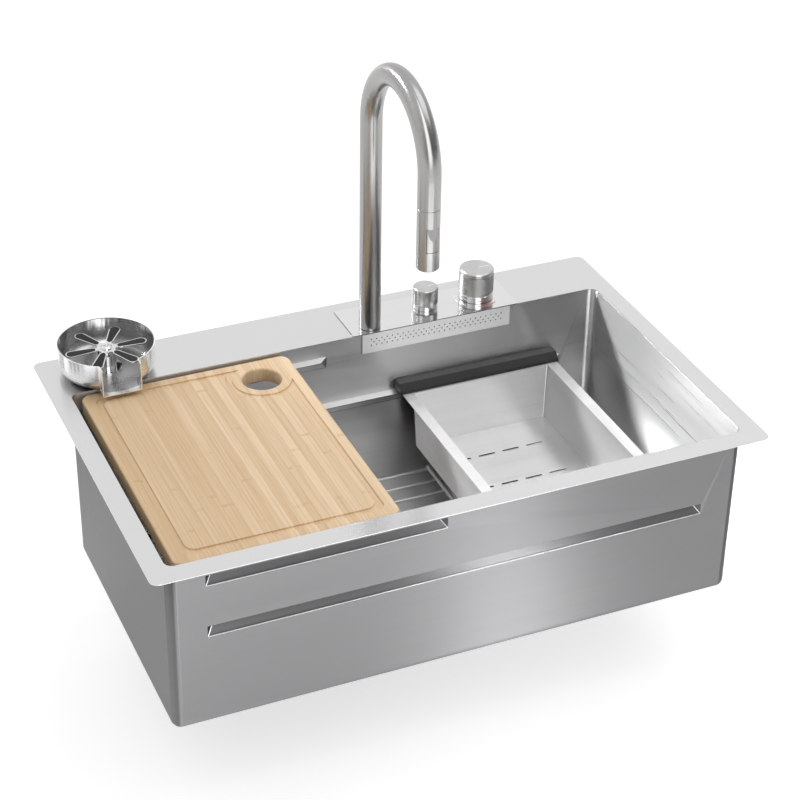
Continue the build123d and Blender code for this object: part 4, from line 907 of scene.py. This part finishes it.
pad_points, pad_faces = [], []
pad_start = PAD_IN - PAD_IN_RADIUS
pad_length = PAD_OUT + PAD_OUT_RADIUS - pad_start
ring_size = PAD_ACROSS + 3
for arm in range(PAD_ARMS):
    turn = Matrix.Rotation(math.tau * arm / PAD_ARMS, 3, "Z")
    shift = len(pad_points)
    for station in range(PAD_STATIONS + 1):
        even = station / PAD_STATIONS
        closer_at_ends = 0.5 - 0.5 * math.cos(math.pi * even)
        along = pad_start + pad_length * (END_SHARE * closer_at_ends + EVEN_SHARE * even)
        for corner in pad_ring(along):
            place = turn @ Vector(corner)
            pad_points.append((RINSER_AT[0] + place.x, RINSER_AT[1] + place.y, place.z))
    for face in capped_faces(PAD_STATIONS + 1, ring_size):
        pad_faces.append([shift + corner for corner in face])
ribbed_pads = piece("ribbed_pads", pad_points, pad_faces, rubber, "rinser_press", "rubber_black")
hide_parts("rinser_pads")

# Coiled return spring in the rinser's tower
SPRING_TURNS, SPRING_STEPS = 3.5, 30
SPRING_WIRE, SPRING_RADIUS = 0.0006, 0.0060
spring_low, spring_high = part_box("rinser_spring")
coil_low = spring_low[2] + SPRING_WIRE
coil_rise = spring_high[2] - spring_low[2] - 2.0 * SPRING_WIRE
coil = []
coil_points = round(SPRING_TURNS * SPRING_STEPS)
for step in range(coil_points + 1):
    angle = math.tau * step / SPRING_STEPS
    coil_x = RINSER_AT[0] + SPRING_RADIUS * math.cos(angle)
    coil_y = RINSER_AT[1] + SPRING_RADIUS * math.sin(angle)
    coil.append((coil_x, coil_y, coil_low + coil_rise * step / coil_points))
return_spring = piece("return_spring", *bead(coil, SPRING_WIRE), polished, "sink", "steel_polished")
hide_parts("rinser_spring")
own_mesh(return_spring)

# Pale paper floor, which the camera and the gloss see brighter than the lamps make it
FLOOR_LEVEL = cad_low.z
FLOOR_SIZE = 40.0
FLOOR_GLOW = 0.58
PAPER_TONE, PAPER_DARK, PAPER_PALE = grey(0.60), grey(0.58), grey(0.62)
PAPER_GRAIN = 60.0


def flat_sheet(name, size, level):
    """A square floor."""
    mesh = bpy.data.meshes.new(name)
    half = size / 2
    corners = [(-half, -half, level), (half, -half, level), (half, half, level), (-half, half, level)]
    mesh.from_pydata(corners, [], [(0, 1, 2, 3)])
    item = bpy.data.objects.new(name, mesh)
    scene.collection.objects.link(item)
    return item


floor = flat_sheet("floor", FLOOR_SIZE, FLOOR_LEVEL)
paper = Graph("floor_paper", PAPER_TONE, metallic=0.0, roughness=0.9)
paper_grain = paper.noise(paper.vector(*paper.place()), PAPER_GRAIN)
paper.colour(paper.blend(paper_grain, PAPER_DARK, PAPER_PALE))
paths = paper.new("ShaderNodeLightPath").outputs
seen = paper.math("ADD", paths["Is Camera Ray"], paths["Is Glossy Ray"])
seen = paper.math("MINIMUM", paper.math("ADD", seen, paths["Is Transmission Ray"]), 1.0)
paper.shader.inputs["Emission Color"].default_value = (1, 1, 1, 1)
paper.feed(paper.shader.inputs["Emission Strength"], paper.math("MULTIPLY", seen, FLOOR_GLOW))
floor.data.materials.append(paper.material)

# White sweep behind and above the object, a dimmer room in front, light mostly from above
SKY_LOW, SKY_TOP = 0.32, 1.14
ROOM_GLOSS, ROOM_START, ROOM_END = 0.22, -0.7, 0.25
ROOM_SIDE, ROOM_RISE = -0.45, 0.35
WINDOW_SIDE, WINDOW_HALF, WINDOW_SOFT = 0.14, 0.30, 0.12
WINDOW_GLOSS = 2.5
LEAST_FRONT = 0.05
world = bpy.data.worlds.new("studio")
scene.world = world
world.use_nodes = True
sky_tree = world.node_tree


def sky_node(kind, links, **values):
    """A node of the world with linked inputs, by place, and set values, by name."""
    made = sky_tree.nodes.new(kind)
    for name, value in values.items():
        setattr(made, name, value)
    for at, value in links:
        if isinstance(value, float):
            made.inputs[at].default_value = value
        else:
            sky_tree.links.new(value, made.inputs[at])
    return made.outputs


def sky_math(operation, first, second):
    """One step of arithmetic."""
    return sky_node("ShaderNodeMath", ((0, first), (1, second)), operation=operation)[0]


def sky_range(value, start, end, low, high):
    """A value mapped from start..end to low..high, clamped."""
    return sky_node("ShaderNodeMapRange", ((0, value), (1, start), (2, end), (3, low), (4, high)))[0]


def sky_pick(choice, otherwise, chosen):
    """otherwise where choice is 0 and chosen where it is 1."""
    made = sky_node("ShaderNodeMix", ((0, choice), (2, otherwise), (3, chosen)), data_type="FLOAT")
    return made[0]


sky_way = sky_node("ShaderNodeTexCoord", ())["Generated"]
sky_x, sky_y, sky_z = sky_node("ShaderNodeSeparateXYZ", ((0, sky_way),))
sky_paths = sky_node("ShaderNodeLightPath", ())
sideways = sky_math("MULTIPLY", sky_x, ROOM_SIDE)
upwards = sky_math("MULTIPLY", sky_z, ROOM_RISE)
towards_rear = sky_math("ADD", sky_y, sky_math("ADD", sideways, upwards))
room = sky_range(towards_rear, ROOM_START, ROOM_END, ROOM_GLOSS, 1.0)
above = sky_range(sky_z, 0.0, 1.0, SKY_LOW, SKY_TOP)
in_front = sky_math("MULTIPLY", sky_y, -1.0)
beside = sky_math("DIVIDE", sky_x, sky_math("MAXIMUM", in_front, LEAST_FRONT))
off_window = sky_math("ABSOLUTE", sky_math("ADD", beside, WINDOW_SIDE), 0.0)
window = sky_range(off_window, WINDOW_HALF - WINDOW_SOFT, WINDOW_HALF + WINDOW_SOFT, WINDOW_GLOSS, 0.0)
window = sky_math("MULTIPLY", window, sky_math("GREATER_THAN", in_front, 0.0))
room = sky_math("ADD", room, window)
mirrored = sky_math("MAXIMUM", sky_paths["Is Glossy Ray"], sky_paths["Is Transmission Ray"])
strength = sky_pick(sky_paths["Is Camera Ray"], sky_pick(mirrored, above, room), 1.0)
sky = sky_tree.nodes["Background"]
sky.inputs["Color"].default_value = (1, 1, 1, 1)
sky_tree.links.new(strength, sky.inputs["Strength"])

# Lamps, in metres, watts and degrees
CARD_HEIGHT = FLOOR_LEVEL + 0.01
WASH_HEIGHT = FLOOR_LEVEL + 0.08


def softbox(name, place, target, width, height, power, spread=180.0):
    """An area light that faces a point; spread narrows its beam, as a grid does."""
    data = bpy.data.lights.new(name, "AREA")
    data.shape = "RECTANGLE"
    data.size = width
    data.size_y = height
    data.energy = power
    data.spread = math.radians(spread)
    lamp = bpy.data.objects.new(name, data)
    scene.collection.objects.link(lamp)
    lamp.location = place
    aim = Vector(target) - Vector(place)
    lamp.rotation_mode = "QUATERNION"
    lamp.rotation_quaternion = aim.to_track_quat("-Z", "Y")
    lamp.visible_camera = False
    return lamp


softbox(
    "top_right", place=(0.92, -0.1, 1.6), target=(0.17, -0.05, -0.16), width=1.2, height=1.2, power=5.7
)
softbox(
    "rear_left",
    place=(-0.77, 1.6, 1.4),
    target=(0.62, -0.12, -0.2),
    width=0.6,
    height=0.6,
    power=2.0,
    spread=16.0,
)
softbox(
    "front_right",
    place=(0.8, -2.05, 0.25),
    target=(0.04, -0.215, -0.4),
    width=0.14,
    height=0.45,
    power=0.22,
    spread=22.0,
)
softbox(
    "tap_card",
    place=(-0.03, -0.95, CARD_HEIGHT),
    target=(-0.03, -0.95, 1.0),
    width=0.9,
    height=0.3,
    power=2.4,
)
# Two small lamps just above the floor, beside the object, that shine straight down
for name, wash_x, wash_y, turn in (("front_wash", 0.19, -0.53, -23.6), ("left_wash", -0.43, 0.345, 13.9)):
    wash = softbox(
        name,
        place=(wash_x, wash_y, WASH_HEIGHT),
        target=(wash_x, wash_y, FLOOR_LEVEL),
        width=0.06,
        height=0.26,
        power=0.06,
        spread=90.0,
    )
    wash.rotation_mode = "XYZ"
    wash.rotation_euler = (0.0, 0.0, math.radians(turn))

# Camera at the photo's viewing angle
CAMERA_PLACE = Vector((-0.83802, -1.91915, 1.32248))
CAMERA_PITCH = math.radians(32.20)
CAMERA_TURN = math.radians(-23.81)
CAMERA_ROLL = math.radians(0.97)
CAMERA_LENS = 93.793
SENSOR_WIDTH = 36.0
level_back = math.cos(CAMERA_PITCH)
back = Vector(
    (
        math.sin(CAMERA_TURN) * level_back,
        -math.cos(CAMERA_TURN) * level_back,
        math.sin(CAMERA_PITCH),
    )
)
right = Vector((math.cos(CAMERA_TURN), math.sin(CAMERA_TURN), 0.0))
up = back.cross(right)
roll_cos, roll_sin = math.cos(CAMERA_ROLL), math.sin(CAMERA_ROLL)
right, up = roll_cos * right + roll_sin * up, roll_cos * up - roll_sin * right
camera_data = bpy.data.cameras.new("camera")
camera_data.sensor_width = SENSOR_WIDTH
camera_data.sensor_fit = "HORIZONTAL"
camera_data.lens = CAMERA_LENS
camera = bpy.data.objects.new("camera", camera_data)
scene.collection.objects.link(camera)
camera.matrix_world = Matrix.Translation(CAMERA_PLACE) @ Matrix((right, up, back)).transposed().to_4x4()
scene.camera = camera
